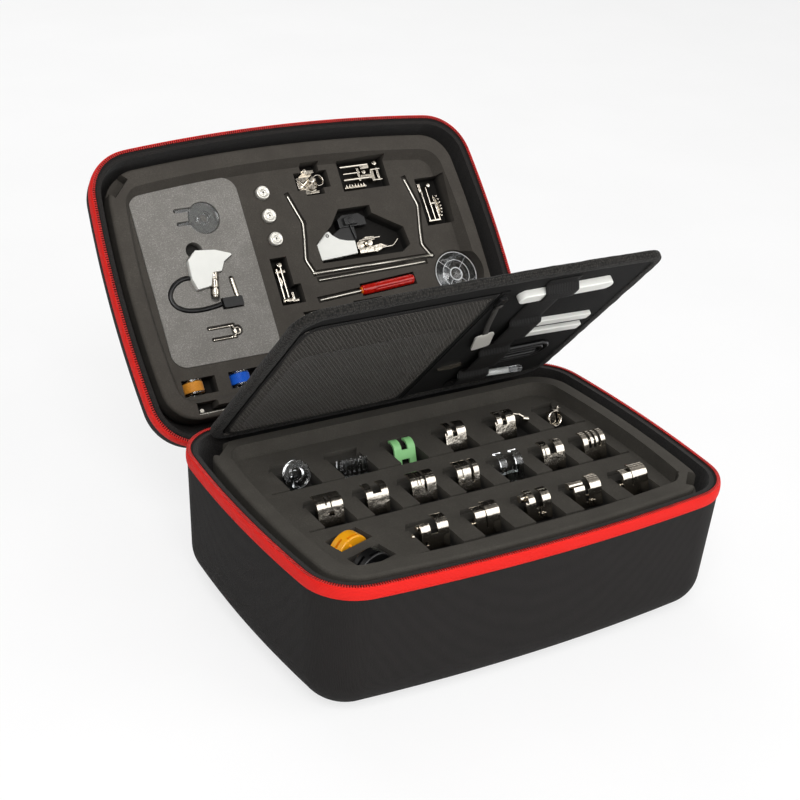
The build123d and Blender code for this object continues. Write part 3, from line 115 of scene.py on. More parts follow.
def startMaterial(name, **shader):
    # Principled material with object coordinates in millimetres
    material = bpy.data.materials.new(name)
    material.use_nodes = True
    tree = material.node_tree
    bsdf = tree.nodes["Principled BSDF"]
    for socketShade, value in shader.items():
        bsdf.inputs[socketShade.replace("_", " ")].default_value = value
    place = addNode(tree, "ShaderNodeTexCoord")
    scaled = addNode(tree, "ShaderNodeMapping", {"Vector": place.outputs["Object"], "Scale": (1 / mm,) * 3})
    return material, tree, bsdf, scaled.outputs["Vector"]


def blendColours(tree, bsdf, factor, low, high):
    ramp = addNode(tree, "ShaderNodeMix", {0: factor}, data_type="RGBA")
    ramp.inputs[6].default_value = low
    ramp.inputs[7].default_value = high
    tree.links.new(ramp.outputs[2], bsdf.inputs["Base Color"])


def spread(tree, value, low, high, outLow=0.0, outHigh=1.0):
    return addNode(tree, "ShaderNodeMapRange", {
        "Value": value, "From Min": low, "From Max": high, "To Min": outLow, "To Max": outHigh,
    }).outputs["Result"]


def addBump(tree, bsdf, height, depthMm):
    bump = addNode(tree, "ShaderNodeBump", {"Height": height, "Distance": depthMm * mm, "Strength": 1.0})
    tree.links.new(bump.outputs["Normal"], bsdf.inputs["Normal"])


def noiseAt(tree, place, scale, detail, **more):
    feeds = {"Vector": place, "Scale": scale, "Detail": detail, **more}
    return addNode(tree, "ShaderNodeTexNoise", feeds).outputs["Fac"]


def product(tree, first, second):
    return addNode(tree, "ShaderNodeMath", {0: first, 1: second}, operation="MULTIPLY").outputs[0]


# Fabrics
nylonCloth = {"thread": "#201d1c", "gap": "#141211", "threadMm": 0.95, "slub": 14.0, "depthMm": 0.16}


def ballisticNylon(name, look):
    # 840 denier nylon laminated over moulded board: matt, tiny raised threads, faint cloudy shading.
    # The threads are 0.5 mm, drawn at about 1 mm so that they show.
    material, tree, bsdf, place = startMaterial(name, Roughness=0.85, Specular_IOR_Level=0.3)
    weave = addNode(tree, "ShaderNodeTexVoronoi", {
        "Vector": place, "Scale": 1 / look["threadMm"], "Randomness": 0.35,
    }).outputs["Distance"]
    cloud = noiseAt(tree, place, 1 / look["slub"], 3.0)
    lit = product(tree, spread(tree, weave, 0.0, 0.75, 1.0, 0.0), spread(tree, cloud, 0.3, 0.7, 0.55, 1.0))
    blendColours(tree, bsdf, lit, linear(look["gap"]), linear(look["thread"]))
    addBump(tree, bsdf, weave, -look["depthMm"])
    return material


def knitCloth(name, light, dark, stitchMm, depthMm, sheen):
    # warp-knit polyester: rows of small loops with dark holes between them
    material, tree, bsdf, place = startMaterial(name, Roughness=0.88, Specular_IOR_Level=0.3,
                                                 Sheen_Weight=sheen, Sheen_Roughness=0.5)
    loops = addNode(tree, "ShaderNodeTexVoronoi", {
        "Vector": place, "Scale": 1 / stitchMm, "Randomness": 0.5,
    }, feature="SMOOTH_F1").outputs["Distance"]
    fuzz = noiseAt(tree, place, 1 / 0.4, 2.0)
    height = product(tree, spread(tree, loops, 0.1, 0.6, 1.0, 0.0), spread(tree, fuzz, 0.3, 0.7, 0.7, 1.0))
    blendColours(tree, bsdf, height, linear(dark), linear(light))
    addBump(tree, bsdf, height, depthMm)
    return material


def ribbedTape(name, light, dark, ribMm, direction="Z", depthMm=0.2):
    # narrow woven tape: straight ribs of weft across it
    material, tree, bsdf, place = startMaterial(name, Roughness=0.72, Specular_IOR_Level=0.3)
    ribs = addNode(tree, "ShaderNodeTexWave", {
        "Vector": place, "Scale": 0.314 / ribMm, "Distortion": 0.6, "Detail": 1.0, "Detail Scale": 2.0,
    }, wave_type="BANDS", bands_direction=direction).outputs["Fac"]
    fuzz = noiseAt(tree, place, 1 / 0.7, 3.0)
    height = product(tree, ribs, spread(tree, fuzz, 0.25, 0.75, 0.6, 1.0))
    blendColours(tree, bsdf, height, linear(dark), linear(light))
    addBump(tree, bsdf, height, depthMm)
    return material


# Foams
# the last colour is the painted shade of the cut pockets
foamLook = {"cellMm": 0.9, "speckAmount": 0.2, "cloudMm": 22.0, "depthMm": 0.1, "paintedPocketShade": "#0e0d0c"}
greyFoamLook = {**foamLook, "cellMm": 0.7, "speckAmount": 0.6}


def slicedFoam(name, light, dark, speck, look, sunk=None):
    # cross-linked EVA, sliced and pressed: dull, fine open cells on every face, a few paler ones.
    # Pockets below the face are darkened with depth as painted shade; sunk is (its normal, its level, depth
    # of the change).
    material, tree, bsdf, place = startMaterial(name, Roughness=0.92, Specular_IOR_Level=0.3)
    cells = addNode(tree, "ShaderNodeTexVoronoi", {
        "Vector": place, "Scale": 1 / look["cellMm"], "Randomness": 1.0,
    })
    cloud = noiseAt(tree, place, 1 / look["cloudMm"], 4.0, Roughness=0.6)
    grain = noiseAt(tree, place, 1 / (look["cellMm"] * 1.3), 3.0)
    shade = product(tree, spread(tree, cloud, 0.3, 0.7), spread(tree, grain, 0.3, 0.7))
    specks = spread(tree, grain, 0.66 - look["speckAmount"] * 0.2, 0.72, 0.0, look["speckAmount"])
    layers = [(shade, light), (specks, speck)]
    if sunk:
        normal, level, reach = sunk
        along = addNode(tree, "ShaderNodeVectorMath", {0: place, 1: tuple(normal)}, operation="DOT_PRODUCT")
        # painted shade: pockets darken with depth below the face, most at reach below it
        paintedPocketShade = spread(tree, along.outputs["Value"], level - reach, level - 0.5, 0.9, 0.0)
        layers.append((paintedPocketShade, look["paintedPocketShade"]))
    below = None
    for share, colour in layers:
        mixed = addNode(tree, "ShaderNodeMix", {0: share}, data_type="RGBA")
        mixed.inputs[6].default_value = linear(dark)
        mixed.inputs[7].default_value = linear(colour)
        if below:
            tree.links.new(below.outputs[2], mixed.inputs[6])
        below = mixed
    tree.links.new(below.outputs[2], bsdf.inputs["Base Color"])
    addBump(tree, bsdf, cells.outputs["Distance"], look["depthMm"])
    return material


def shadeBelowFace(place, level, reach):
    # the cut face's normal and level along it, in millimetres, which set the painted shade below it
    normal = place.to_3x3() @ Vector((0, 0, 1))
    normal.normalize()
    return normal, (place @ Vector((0, 0, level))).dot(normal) / mm, reach


# Metals
def platedSteel(name):
    # stamped steel under nickel and chrome: mirror-like, with soft scuffs and a slight wave from the press
    material, tree, bsdf, place = startMaterial(name, Metallic=1.0, Base_Color=linear("#cfc8bc"))
    scuffs = noiseAt(tree, place, 0.9, 5.0, Roughness=0.7)
    tree.links.new(spread(tree, scuffs, 0.35, 0.75, 0.1, 0.22), bsdf.inputs["Roughness"])
    addBump(tree, bsdf, noiseAt(tree, place, 0.25, 1.0), 0.12)
    return material


def drawnSteel(name):
    # bright drawn wire: fine lines and a soft, stretched shine
    material, tree, bsdf, place = startMaterial(name, Metallic=1.0, Base_Color=linear("#d6d2c8"),
                                                 Anisotropic=0.4)
    lines = noiseAt(tree, place, 3.0, 2.0)
    tree.links.new(spread(tree, lines, 0.3, 0.7, 0.26, 0.4), bsdf.inputs["Roughness"])
    addBump(tree, bsdf, lines, 0.02)
    return material


def castMetal(name, colour, metallic, rough):
    # small zinc casting: softened edges, faint orange peel
    material, tree, bsdf, place = startMaterial(name, Metallic=metallic, Base_Color=linear(colour))
    peel = noiseAt(tree, place, 1.1, 3.0)
    tree.links.new(spread(tree, peel, 0.3, 0.7, rough, rough + 0.15), bsdf.inputs["Roughness"])
    addBump(tree, bsdf, peel, 0.05)
    return material


# Plastics
def mouldedPlastic(name, colour, rough=0.3, mottle="#000000", mottleAmount=0.06):
    # injection-moulded ABS: even colour, faint flow mottling, soft gloss
    material, tree, bsdf, place = startMaterial(name, Roughness=rough, IOR=1.54)
    flow = spread(tree, noiseAt(tree, place, 0.12, 3.0), 0.35, 0.75, 0.0, mottleAmount)
    blendColours(tree, bsdf, flow, linear(colour), linear(mottle))
    addBump(tree, bsdf, noiseAt(tree, place, 0.8, 2.0), 0.03)
    return material


def clearPlastic(name, colour, streak="#ffffff", rough=0.04, through=1.0):
    # moulded acrylic: clear with a little tint and a wavy surface
    material, tree, bsdf, place = startMaterial(name, Roughness=rough, IOR=1.49, Transmission_Weight=through)
    flow = noiseAt(tree, place, 0.3, 2.0)
    blendColours(tree, bsdf, spread(tree, flow, 0.3, 0.7), linear(colour), linear(streak))
    addBump(tree, bsdf, flow, 0.08)
    return material


def softJacket(name):
    # flexible PVC jacket: black, satin, slightly dusty
    material, tree, bsdf, place = startMaterial(name, IOR=1.52)
    dust = noiseAt(tree, place, 0.5, 5.0)
    blendColours(tree, bsdf, spread(tree, dust, 0.5, 0.8, 0.0, 0.25), linear("#0d0d0e"), linear("#3a3a3a"))
    tree.links.new(spread(tree, dust, 0.3, 0.7, 0.28, 0.5), bsdf.inputs["Roughness"])
    return material


def woundThread(name, light, dark):
    # mercerised polyester thread: silky, each strand a twist of finer ones
    material, tree, bsdf, place = startMaterial(name, Roughness=0.42, Sheen_Weight=0.35, Sheen_Roughness=0.3)
    twist = noiseAt(tree, place, 2.4, 3.0)
    blendColours(tree, bsdf, spread(tree, twist, 0.3, 0.7), linear(dark), linear(light))
    addBump(tree, bsdf, twist, 0.1)
    return material


finish = {
    "nylon": ballisticNylon("ballisticNylonWoven", nylonCloth),
    "lining": knitCloth("brushedKnitLining", "#2b2826", "#191716", stitchMm=1.1, depthMm=0.2, sheen=0.08),
    "binding": knitCloth("paddedKnitBinding", "#36332f", "#0a0a09", stitchMm=1.7, depthMm=0.6, sheen=0.05),
    "laminate": knitCloth("laminatedBoardCloth", "#131211", "#0c0c0c", stitchMm=0.8, depthMm=0.1, sheen=0.0),
    "net": knitCloth("netYarnKnitted", "#6a6762", "#474440", stitchMm=0.6, depthMm=0.1, sheen=0.05),
    "tapeRed": ribbedTape("zipTapeWovenRed", "#ea1a0c", "#cf0f06", 1.1),
    "coilRed": mouldedPlastic("zipCoilNylonRed", "#c9150b", rough=0.45, mottle="#5a0604", mottleAmount=0.5),
    "ribbon": ribbedTape("grosgrainRibbonWoven", "#4c4a47", "#2e2c2a", 1.2, direction="Y", depthMm=0.2),
    "elastic": ribbedTape("elasticWebbingWoven", "#1d1c1b", "#0e0d0d", 1.6, direction="X", depthMm=0.25),
    "foam": slicedFoam("evaFoamSliced", "#4a4742", "#3d3a36", "#56524c", foamLook),
    # the cut foams carry painted shade in their pockets
    "trayFoam": slicedFoam("evaFoamTrayCut", "#4c4943", "#3f3c37", "#58544e", foamLook,
                           shadeBelowFace(metres, trayField, 9.0)),
    "lidFoam": slicedFoam("evaFoamLidCut", "#4e4a44", "#413d38", "#5a564f", foamLook,
                          shadeBelowFace(lidPlace, lidField, 9.0)),
    "greyFoam": slicedFoam("evaFoamGreySpeckled", "#94918c", "#787570", "#afaca7", greyFoamLook,
                           shadeBelowFace(lidPlace, insertFace, 8.0)),
    "plated": platedSteel("nickelChromePlatedSteel"),
    "turned": castMetal("nickelSilverTurned", "#f0ede4", 0.6, 0.28),
    "steel": drawnSteel("steelBrightDrawn"),
    "blackMetal": castMetal("zincEnamelledBlack", "#141414", 0.0, 0.3),
    "tag": castMetal("zincCastNickelled", "#dedbd4", 0.25, 0.35),
    "clear": clearPlastic("acrylicMouldedClear", "#e9eef0"),
    "redClear": clearPlastic("acetateMouldedRed", "#b80d05", streak="#e02414", rough=0.12, through=0.3),
    "green": mouldedPlastic("absMouldedGreen", "#8ccb86", rough=0.4),
    "orange": mouldedPlastic("absMouldedOrange", "#f7a917", rough=0.3, mottle="#7a3a00"),
    "black": mouldedPlastic("absMouldedBlack", "#060607", rough=0.4),
    "white": mouldedPlastic("absMouldedWhite", "#f2f2ec", rough=0.4, mottle="#b0b0a8"),
    "sleeve": clearPlastic("vinylSleeveFrosted", "#3c3d3e", streak="#55575a", rough=0.4, through=0.3),
    "jacket": softJacket("pvcJacketBlack"),
    "threadOrange": woundThread("polyesterThreadOrange", "#f2ac3e", "#c67c1c"),
    "collar": mouldedPlastic("acetateMouldedAmber", "#f07818", rough=0.2),
    "brightEdge": clearPlastic("acrylicPolishedEdge", "#f4f6f7", rough=0.12, through=0.3),
    "label": mouldedPlastic("paperLabelWhite", "#f4f4f0", rough=0.7, mottle="#c8c8c2"),
    "threadBlue": woundThread("polyesterThreadBlue", "#1478f5", "#0048b8"),
}
print("materials made:", len(finish))

cadFinish = {
    "nylon": ("base_shell", "lid_shell"), "lining": ("base_lining", "lid_lining"),
    "foam": ("lower_foam_block",),
    "trayFoam": ("foam_tray",), "lidFoam": ("lid_foam_tray",), "greyFoam": ("light_foam_insert",),
    "clear": ("clear_feet", "clear_disc_foot", "bobbins", "needle_tube"), "orange": ("orange_foot",),
    "black": ("black_foot",), "blackMetal": ("zip_slider_left", "zip_slider_right", "pocket_zip_slider"),
    "white": ("sensor_module", "white_tools"), "jacket": ("jack_plug",), "redClear": ("screwdriver_handle",),
    "steel": ("screwdriver_blade", "needle_bar"), "laminate": ("divider_board", "pocket_zip"),
    "sleeve": ("pocket_sleeve",), "tag": ("pull_tag",),
    "plated": ("jack_pin", "small_clips", "seam_ripper_blade", "metal_feet_row_1", "metal_feet_row_2",
               "metal_feet_row_3"),
}
for finishName, nodeNames in cadFinish.items():
    for nodeName in nodeNames:
        mesh = nodes[nodeName].data
        mesh.materials.clear()
        mesh.materials.append(finish[finishName])


# Mesh building
def meshPiece(name, work, place, material, body, stands=(), smooth=True):
    # turns a bmesh in millimetres into a piece that rides on a body
    mesh = bpy.data.meshes.new(name)
    work.transform(place)
    bmesh.ops.recalc_face_normals(work, faces=work.faces[:])
    work.to_mesh(mesh)
    work.free()
    piece = bpy.data.objects.new(name, mesh)
    bpy.context.scene.collection.objects.link(piece)
    mesh.materials.append(finish[material])
    for polygon in mesh.polygons:
        polygon.use_smooth = smooth
    if stands:
        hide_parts(*stands)
    if body:
        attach(piece, body)
    return piece


def addModifier(piece, kind, **settings):
    modifier = piece.modifiers.new(kind.title(), kind)
    for key, value in settings.items():
        setattr(modifier, key, value)


def softEdges(piece, widthMm, segments=2):
    # small rounds on the sharp edges only
    addModifier(piece, "BEVEL", width=widthMm * mm, segments=segments, limit_method="ANGLE",
                angle_limit=radians(50))
    addModifier(piece, "WEIGHTED_NORMAL")


def resample(points, step, closed):
    # the same line with points an even step apart
    ends = points + points[:1] if closed else points
    runs = [(b - a).length for a, b in zip(ends, ends[1:])]
    count = max(2, round(sum(runs) / step))
    spacing = sum(runs) / count
    result, passed, index = [], 0.0, 0
    for k in range(count if closed else count + 1):
        target = k * spacing
        while index < len(runs) - 1 and passed + runs[index] < target:
            passed += runs[index]
            index += 1
        share = (target - passed) / runs[index] if runs[index] else 0
        result.append(ends[index].lerp(ends[index + 1], min(share, 1)))
    return result


def soften(points, rounds):
    # closed line, each point moved towards the middle of its neighbours
    for _ in range(rounds):
        after = points[1:] + points[:1]
        points = [(points[i - 1] + points[i] * 2 + after[i]) / 4 for i in range(len(points))]
    return points


def smoothed(line, rounds):
    # the same for an open line, which keeps its ends
    for _ in range(rounds):
        line = [line[0]] + [(a + b * 2 + c) / 4 for a, b, c in zip(line, line[1:], line[2:])] + [line[-1]]
    return line


def circle(count):
    # cosine and sine of even steps round a circle
    return [(cos(2 * pi * k / count), sin(2 * pi * k / count)) for k in range(count)]


def outwards(points, closed=True):
    # unit normals of a flat anticlockwise line, pointing out of it
    normals = []
    last = len(points) - 1
    for i in range(len(points)):
        before = points[i - 1] if closed or i else points[i]
        after = points[(i + 1) % len(points)] if closed or i < last else points[i]
        along = (after - before).normalized()
        normals.append(Vector((along.y, -along.x)))
    return normals


def hullOf(flatPoints):
    return [flatPoints[i] for i in convex_hull_2d(flatPoints)]


def loft(work, rings, closedAlong=False):
    # skin over closed rings of points, with caps unless the rings themselves make a loop
    rows = [[work.verts.new(p) for p in ring] for ring in rings]
    around = len(rows[0])
    for i in range(len(rows) if closedAlong else len(rows) - 1):
        first, second = rows[i], rows[(i + 1) % len(rows)]
        for j in range(around):
            k = (j + 1) % around
            work.faces.new((first[j], first[k], second[k], second[j]))
    if not closedAlong:
        work.faces.new(rows[0])
        work.faces.new(rows[-1][::-1])


def addBox(work, x0, x1, y0, y1, z0, z1):
    plan = ((x0, y0), (x1, y0), (x1, y1), (x0, y1))
    corners = [work.verts.new((x, y, z)) for z in (z0, z1) for x, y in plan]
    for face in ((3, 2, 1, 0), (4, 5, 6, 7), (0, 1, 5, 4), (1, 2, 6, 5), (2, 3, 7, 6), (3, 0, 4, 7)):
        work.faces.new([corners[i] for i in face])


def addRod(work, start, end, radius, sides=14, domes=0.0):
    # round bar; domes lets its ends bulge by that much
    start, end = Vector(start), Vector(end)
    axis = (end - start).normalized()
    across = axis.orthogonal().normalized()
    other = axis.cross(across)
    stations = [(start, radius), (end, radius)]
    if domes:
        bulge = ((domes, radius * 0.55), (domes * 0.55, radius * 0.88))
        stations = [(start - axis * out, size) for out, size in bulge] + stations
        stations += [(end + axis * out, size) for out, size in bulge[::-1]]
    spokes = [across * c + other * s for c, s in circle(sides)]
    loft(work, [[centre + spoke * size for spoke in spokes] for centre, size in stations])


def addPrism(work, outline, x0, x1):
    # plate cut to a (y, z) outline, between two x planes
    loft(work, [[Vector((x, y, z)) for y, z in outline] for x in (x0, x1)])


# The two zips
zipLook = {
    "rimDepth": 0.3, "rimRounds": 8, "backDepth": 3.0, "backGapHalf": 118.0,
    "tapeLow": 109.2, "tapeHigh": 119.6, "off": 0.25, "bulge": 0.75, "fullness": 0.7, "lip": (-0.9, 0.35),
    "inside": 0.05, "drop": 0.3,
    "toothPitch": 2.1, "toothWidth": 1.7, "toothHeight": 0.72, "toothLevel": 119.95,
    "tooth": ((0.1, 0.5), (-0.5, 0.95), (-1.6, 0.8), (-2.5, 1.0), (-2.9, 0.55)),    # (out, share of its size)
    "stitchPitch": 3.4, "stitchHalf": 1.1, "stitchRadius": 0.32, "stitchUp": 2.0, "stitchOut": 0.75,
}


def rimLine(step):
    # the case's outline at the zip, from the base shell's own rim, starting behind on the right
    verts = nodes["base_shell"].data.vertices
    top = max(v.co.z for v in verts)
    rim = hullOf([v.co.xy / mm for v in verts if top - v.co.z < zipLook["rimDepth"] * mm])
    line = soften(resample(rim, step, True), zipLook["rimRounds"])
    back = max(p.y for p in line)
    start = min(range(len(line)), key=lambda i: (line[i] - Vector((0, back))).length)
    line = line[start:] + line[:start]
    return line, back


def zipRun(step):
    # the part of the rim line that has the zip, with its normals
    line, back = rimLine(step)
    normals = outwards(line)
    keep = [i for i, p in enumerate(line)
            if p.y <= back - zipLook["backDepth"] or abs(p.x) >= zipLook["backGapHalf"]]
    return [line[i] for i in keep], [normals[i] for i in keep]


def zipTape(half, place):
    line, normals = zipRun(2.0)
    low, high, bulge, fullness = (zipLook[k] for k in ("tapeLow", "tapeHigh", "bulge", "fullness"))
    outer = [(zipLook["off"] + bulge * sin(pi * k / 8) ** fullness, low + (high - low) * k / 8)
             for k in range(9)]
    lipOut, lipUp = zipLook["lip"]
    outer.append((lipOut, high + lipUp))
    inner = [(zipLook["inside"], h - zipLook["drop"]) for _, h in outer[-2::-1]]
    work = bmesh.new()
    loft(work, [[Vector((*(point + normal * out), h)) for out, h in outer + inner]
                for point, normal in zip(line, normals)])
    meshPiece(half + "_zip_tape_cloth", work, place, "tapeRed", half, [half + "_zip_tape"])


def zipCoil(half, place):
    # one rounded tooth after another, set on the inner edge of the tape
    line, normals = zipRun(zipLook["toothPitch"])
    work = bmesh.new()
    wide = zipLook["toothWidth"] / 2
    for point, normal in zip(line, normals):
        along = Vector((normal.y, -normal.x))
        rings = []
        for out, size in zipLook["tooth"]:
            centre = Vector((*(point + normal * out), zipLook["toothLevel"]))
            side = Vector((*along, 0)) * wide * size
            up = Vector((0, 0, zipLook["toothHeight"] * size))
            rings.append([centre + side * c + up * s for c, s in circle(6)])
        loft(work, rings)
    meshPiece(half + "_zip_coil", work, place, "coilRed", half, [half + "_zip_teeth"])


def zipStitches(half, place):
    line, normals = zipRun(zipLook["stitchPitch"])
    work = bmesh.new()
    for point, normal in zip(line, normals):
        along = Vector((normal.y, -normal.x, 0)) * zipLook["stitchHalf"]
        centre = Vector((*(point + normal * zipLook["stitchOut"]), zipLook["tapeLow"] + zipLook["stitchUp"]))
        addRod(work, centre - along, centre + along, zipLook["stitchRadius"], sides=6, domes=0.2)
    meshPiece(half + "_zip_stitches", work, place, "tapeRed", half)


for half, place in (("base", metres), ("lid", openLid @ mirrorInZip)):
    zipTape(half, place)
    zipCoil(half, place)
    zipStitches(half, place)
print("zips made")

# Divider: padded binding
bindingLook = {"inset": 4.6, "halfWidth": 5.0, "halfHeight": 3.6, "middle": -4.3, "square": 0.55,
               "lump": 0.35, "lumpMm": 11.0, "sides": 20, "step": 2.0, "rounds": 3}


def dividerBinding():
    inverse = dividerPlace.inverted()
    flat = [(inverse @ v.co).xy for v in nodes["divider_binding"].data.vertices]
    line = soften(resample(hullOf(flat), bindingLook["step"], True), bindingLook["rounds"])
    rings = []
    for point, normal in zip(line, outwards(line)):
        middle = point - normal * bindingLook["inset"]
        ring = []
        for c, s in circle(bindingLook["sides"]):
            side = abs(c) ** bindingLook["square"] * (1 if c > 0 else -1) * bindingLook["halfWidth"]
            up = abs(s) ** bindingLook["square"] * (1 if s > 0 else -1) * bindingLook["halfHeight"]
            p = Vector((*(middle + normal * side), bindingLook["middle"] + up))
            swell = noise.noise(p / bindingLook["lumpMm"]) * bindingLook["lump"]
            ring.append(p + Vector((*(normal * c), s)) * swell)
        rings.append(ring)
    work = bmesh.new()
    loft(work, rings, closedAlong=True)
    piece = meshPiece("divider_binding_padded", work, dividerPlace, "binding", "divider", ["divider_binding"])


dividerBinding()

# Divider: net pocket
netLook = {"left": -158.0, "right": 14.0, "low": 4.0, "high": 208.0, "cell": 3.4, "yarn": 0.62, "lift": -0.6,
           "bulge": 2.2, "fullness": 0.6, "ripple": 1.1, "rippleMm": (45, 28), "hem": 6.0, "corner": 14.0,
           "hemDrop": 0.5, "cover": 0.45,
           "hemProfile": ((0, 0.1), (-0.6, 0.75), (-3.0, 1.0), (-5.4, 0.85), (-6.0, 0.2), (-3.0, 0.0))}


def netHeight(x, y):
    # the net stands off the board most in its middle, with a few soft ripples
    u = (x - netLook["left"]) / (netLook["right"] - netLook["left"])
    v = (y - netLook["low"]) / (netLook["high"] - netLook["low"])
    across, along = (max(0.0, sin(pi * min(max(share, 0), 1))) ** netLook["fullness"] for share in (u, v))
    wide, tall = netLook["rippleMm"]
    ripple = noise.noise(Vector((x / wide, y / tall, 3.1)))
    return netLook["lift"] + across * along * (netLook["bulge"] + netLook["ripple"] * ripple)


def netPocket():
    # hexagon cells as one sheet, then each cell's edge becomes a yarn
    work = bmesh.new()
    cell = netLook["cell"]
    rise = cell * 0.75
    made = {}

    def corner(x, y):
        key = (round(x * 20), round(y * 20))
        if key not in made:
            made[key] = work.verts.new((x, y, netHeight(x, y)))
        return made[key]

    edge = netLook["hem"] - 2
    row = 0
    y = netLook["low"] + edge
    while y < netLook["high"] - edge:
        x = netLook["left"] + edge + (cell / 2 if row % 2 else 0)
        while x < netLook["right"] - edge:
            points = [(x, y + rise * 2 / 3), (x + cell / 2, y + rise / 3), (x + cell / 2, y - rise / 3),
                      (x, y - rise * 2 / 3), (x - cell / 2, y - rise / 3), (x - cell / 2, y + rise / 3)]
            work.faces.new([corner(*p) for p in points])
            x += cell
        y += rise
        row += 1
    piece = meshPiece("net_pocket_yarns", work, dividerPlace, "net", None, smooth=False)
    addModifier(piece, "WIREFRAME", thickness=netLook["yarn"] * mm, use_even_offset=False, use_boundary=True)
    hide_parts("mesh_pocket")
    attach(piece, "divider")


def netHem():
    # folded tape sewn round the net
    left, right, low, high = (netLook[k] for k in ("left", "right", "low", "high"))
    r = netLook["corner"]
    corners = [Vector((right, low)), Vector((right, high))]
    for cx, cy, start in ((left + r, high - r, 90), (left + r, low + r, 180)):
        corners += [Vector((cx + r * cos(radians(start + k * 15)), cy + r * sin(radians(start + k * 15))))
                    for k in range(7)]
    line = resample(corners, 3.0, True)
    rings = []
    for point, normal in zip(line, outwards(line)):
        ring = []
        for out, up in netLook["hemProfile"]:
            ring.append(Vector((*(point + normal * out), netLook["lift"] - netLook["hemDrop"] + up)))
        rings.append(ring)
    work = bmesh.new()
    loft(work, rings, closedAlong=True)
    meshPiece("net_pocket_hem", work, dividerPlace, "elastic", "divider")


netPocket()
netHem()

# Divider: elastic band over the tools
bandLook = {"left": 57.5, "right": 90.0, "thick": 1.0, "rest": -1.25, "ramp": 4.0, "slack": 0.3,
            "start": 12.0, "end": 215.0, "wave": 0.5, "waveMm": 20.0, "thinEdge": 0.4}
toolRest = -1.7          # the divider board's face, off its underside
# where the band lies over the tools: from, to, height of the tool
bandCrests = ((27.3, 39.0, 6.0), (50.6, 81.4, 4.2), (105.9, 139.6, 3.8), (190.5, 203.5, 6.2))


def elasticBand():
    route = [Vector((bandLook["start"], bandLook["rest"]))]
    for low, high, thick in bandCrests:
        crest = toolRest + thick + bandLook["slack"] + bandLook["thick"] / 2
        for y, z in ((low - bandLook["ramp"], bandLook["rest"]), (low, crest), (high, crest),
                     (high + bandLook["ramp"], bandLook["rest"])):
            route.append(Vector((y, z)))
    route.append(Vector((bandLook["end"], bandLook["rest"])))
    line = smoothed(resample(route, 1.2, False), 2)
    rings = []
    for point, normal in zip(line, outwards(line, closed=False)):
        lift = Vector((0, -normal.x, -normal.y)) * bandLook["thick"] / 2
        wave = bandLook["wave"] * noise.noise(Vector((point.x / bandLook["waveMm"], 0, 7.7)))
        left, width = bandLook["left"] + wave, bandLook["right"] - bandLook["left"]
        across = [(Vector((left + width * k / 10, point.x, point.y)),
                   lift * (bandLook["thinEdge"] if k in (0, 10) else 1)) for k in range(11)]
        rings.append([middle + up for middle, up in across] + [middle - up for middle, up in across[::-1]])
    work = bmesh.new()
    loft(work, rings)
    meshPiece("elastic_band_webbing", work, dividerPlace, "elastic", "divider", ["elastic_band"])


elasticBand()


pullLook = {"start": (19.0, 190.0), "end": (39.0, 130.0), "head": 4.5, "width": 5.0, "thick": 0.8,
            "level": 1.45, "sag": 2.4, "sagEnds": 9, "wave": 0.5, "waves": 7, "bevel": 0.96, "steps": 24}


def pullRibbon():
    # strap from the slider down to the tag, sinking onto the net
    start, end = Vector(pullLook["start"]), Vector(pullLook["end"])
    side = Vector(((end - start).y, -(end - start).x, 0)).normalized()
    points = [Vector((start.x, start.y + pullLook["head"], pullLook["level"] + pullLook["sag"]))]
    for k in range(pullLook["steps"] + 1):
        t = k / pullLook["steps"]
        p = start.lerp(end, t)
        lift = pullLook["level"] + pullLook["sag"] * max(0.0, 1 - t * pullLook["sagEnds"])
        points.append(Vector((p.x + pullLook["wave"] * sin(t * pullLook["waves"]), p.y, lift)))
    half, up = side * pullLook["width"] / 2, Vector((0, 0, pullLook["thick"] / 2))
    flat = half * pullLook["bevel"]
    section = (-half, up - flat, up + flat, half, flat - up, -flat - up)
    work = bmesh.new()
    loft(work, [[point + corner for corner in section] for point in points])
    meshPiece("pull_ribbon_grosgrain", work, dividerPlace, "ribbon", "pocket_slider", ["pull_ribbon"])


pullRibbon()
print("divider dressed")

# Cloth across the two fabric hinges
spineLook = {"half": 114.0, "thick": 1.4, "baseLeg": 20.0, "lidLeg": 30.0, "baseWall": 132.3,
             "lidWall": 132.5, "from": (0, 0.1330, 0.1025), "to": (0, 0.1362, 0.1038)}
stripLook = {"half": 143.0, "thick": 1.1, "inside": 0.7, "fold": 4.0, "under": 0.4, "bend": 0.012}


def hingeCloth(name, stands, route, look, material):
    # a wide strip bent along X that follows both bodies
    line = smoothed(resample(smoothed(resample(route, 1.0, False), 1), 1.0, False), 1)
    across = [look["half"] * (k / 15 - 1) for k in range(31)]
    rings = []
    for point, normal in zip(line, outwards(line, closed=False)):
        lift = Vector((0, normal.x, normal.y)) * look["thick"] / 2
        middle = Vector((0, point.x, point.y))
        rings.append([Vector((x, 0, 0)) + middle + lift for x in across]
                     + [Vector((x, 0, 0)) + middle - lift for x in across[::-1]])
    work = bmesh.new()
    loft(work, rings)
    piece = meshPiece(name, work, metres, material, None, [stands])
    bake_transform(piece)


def closedToOpen(y, z):
    place = turnedAbout(lidHinge, lidAngle) @ Vector((0, y, z))
    return Vector((place.y, place.z))


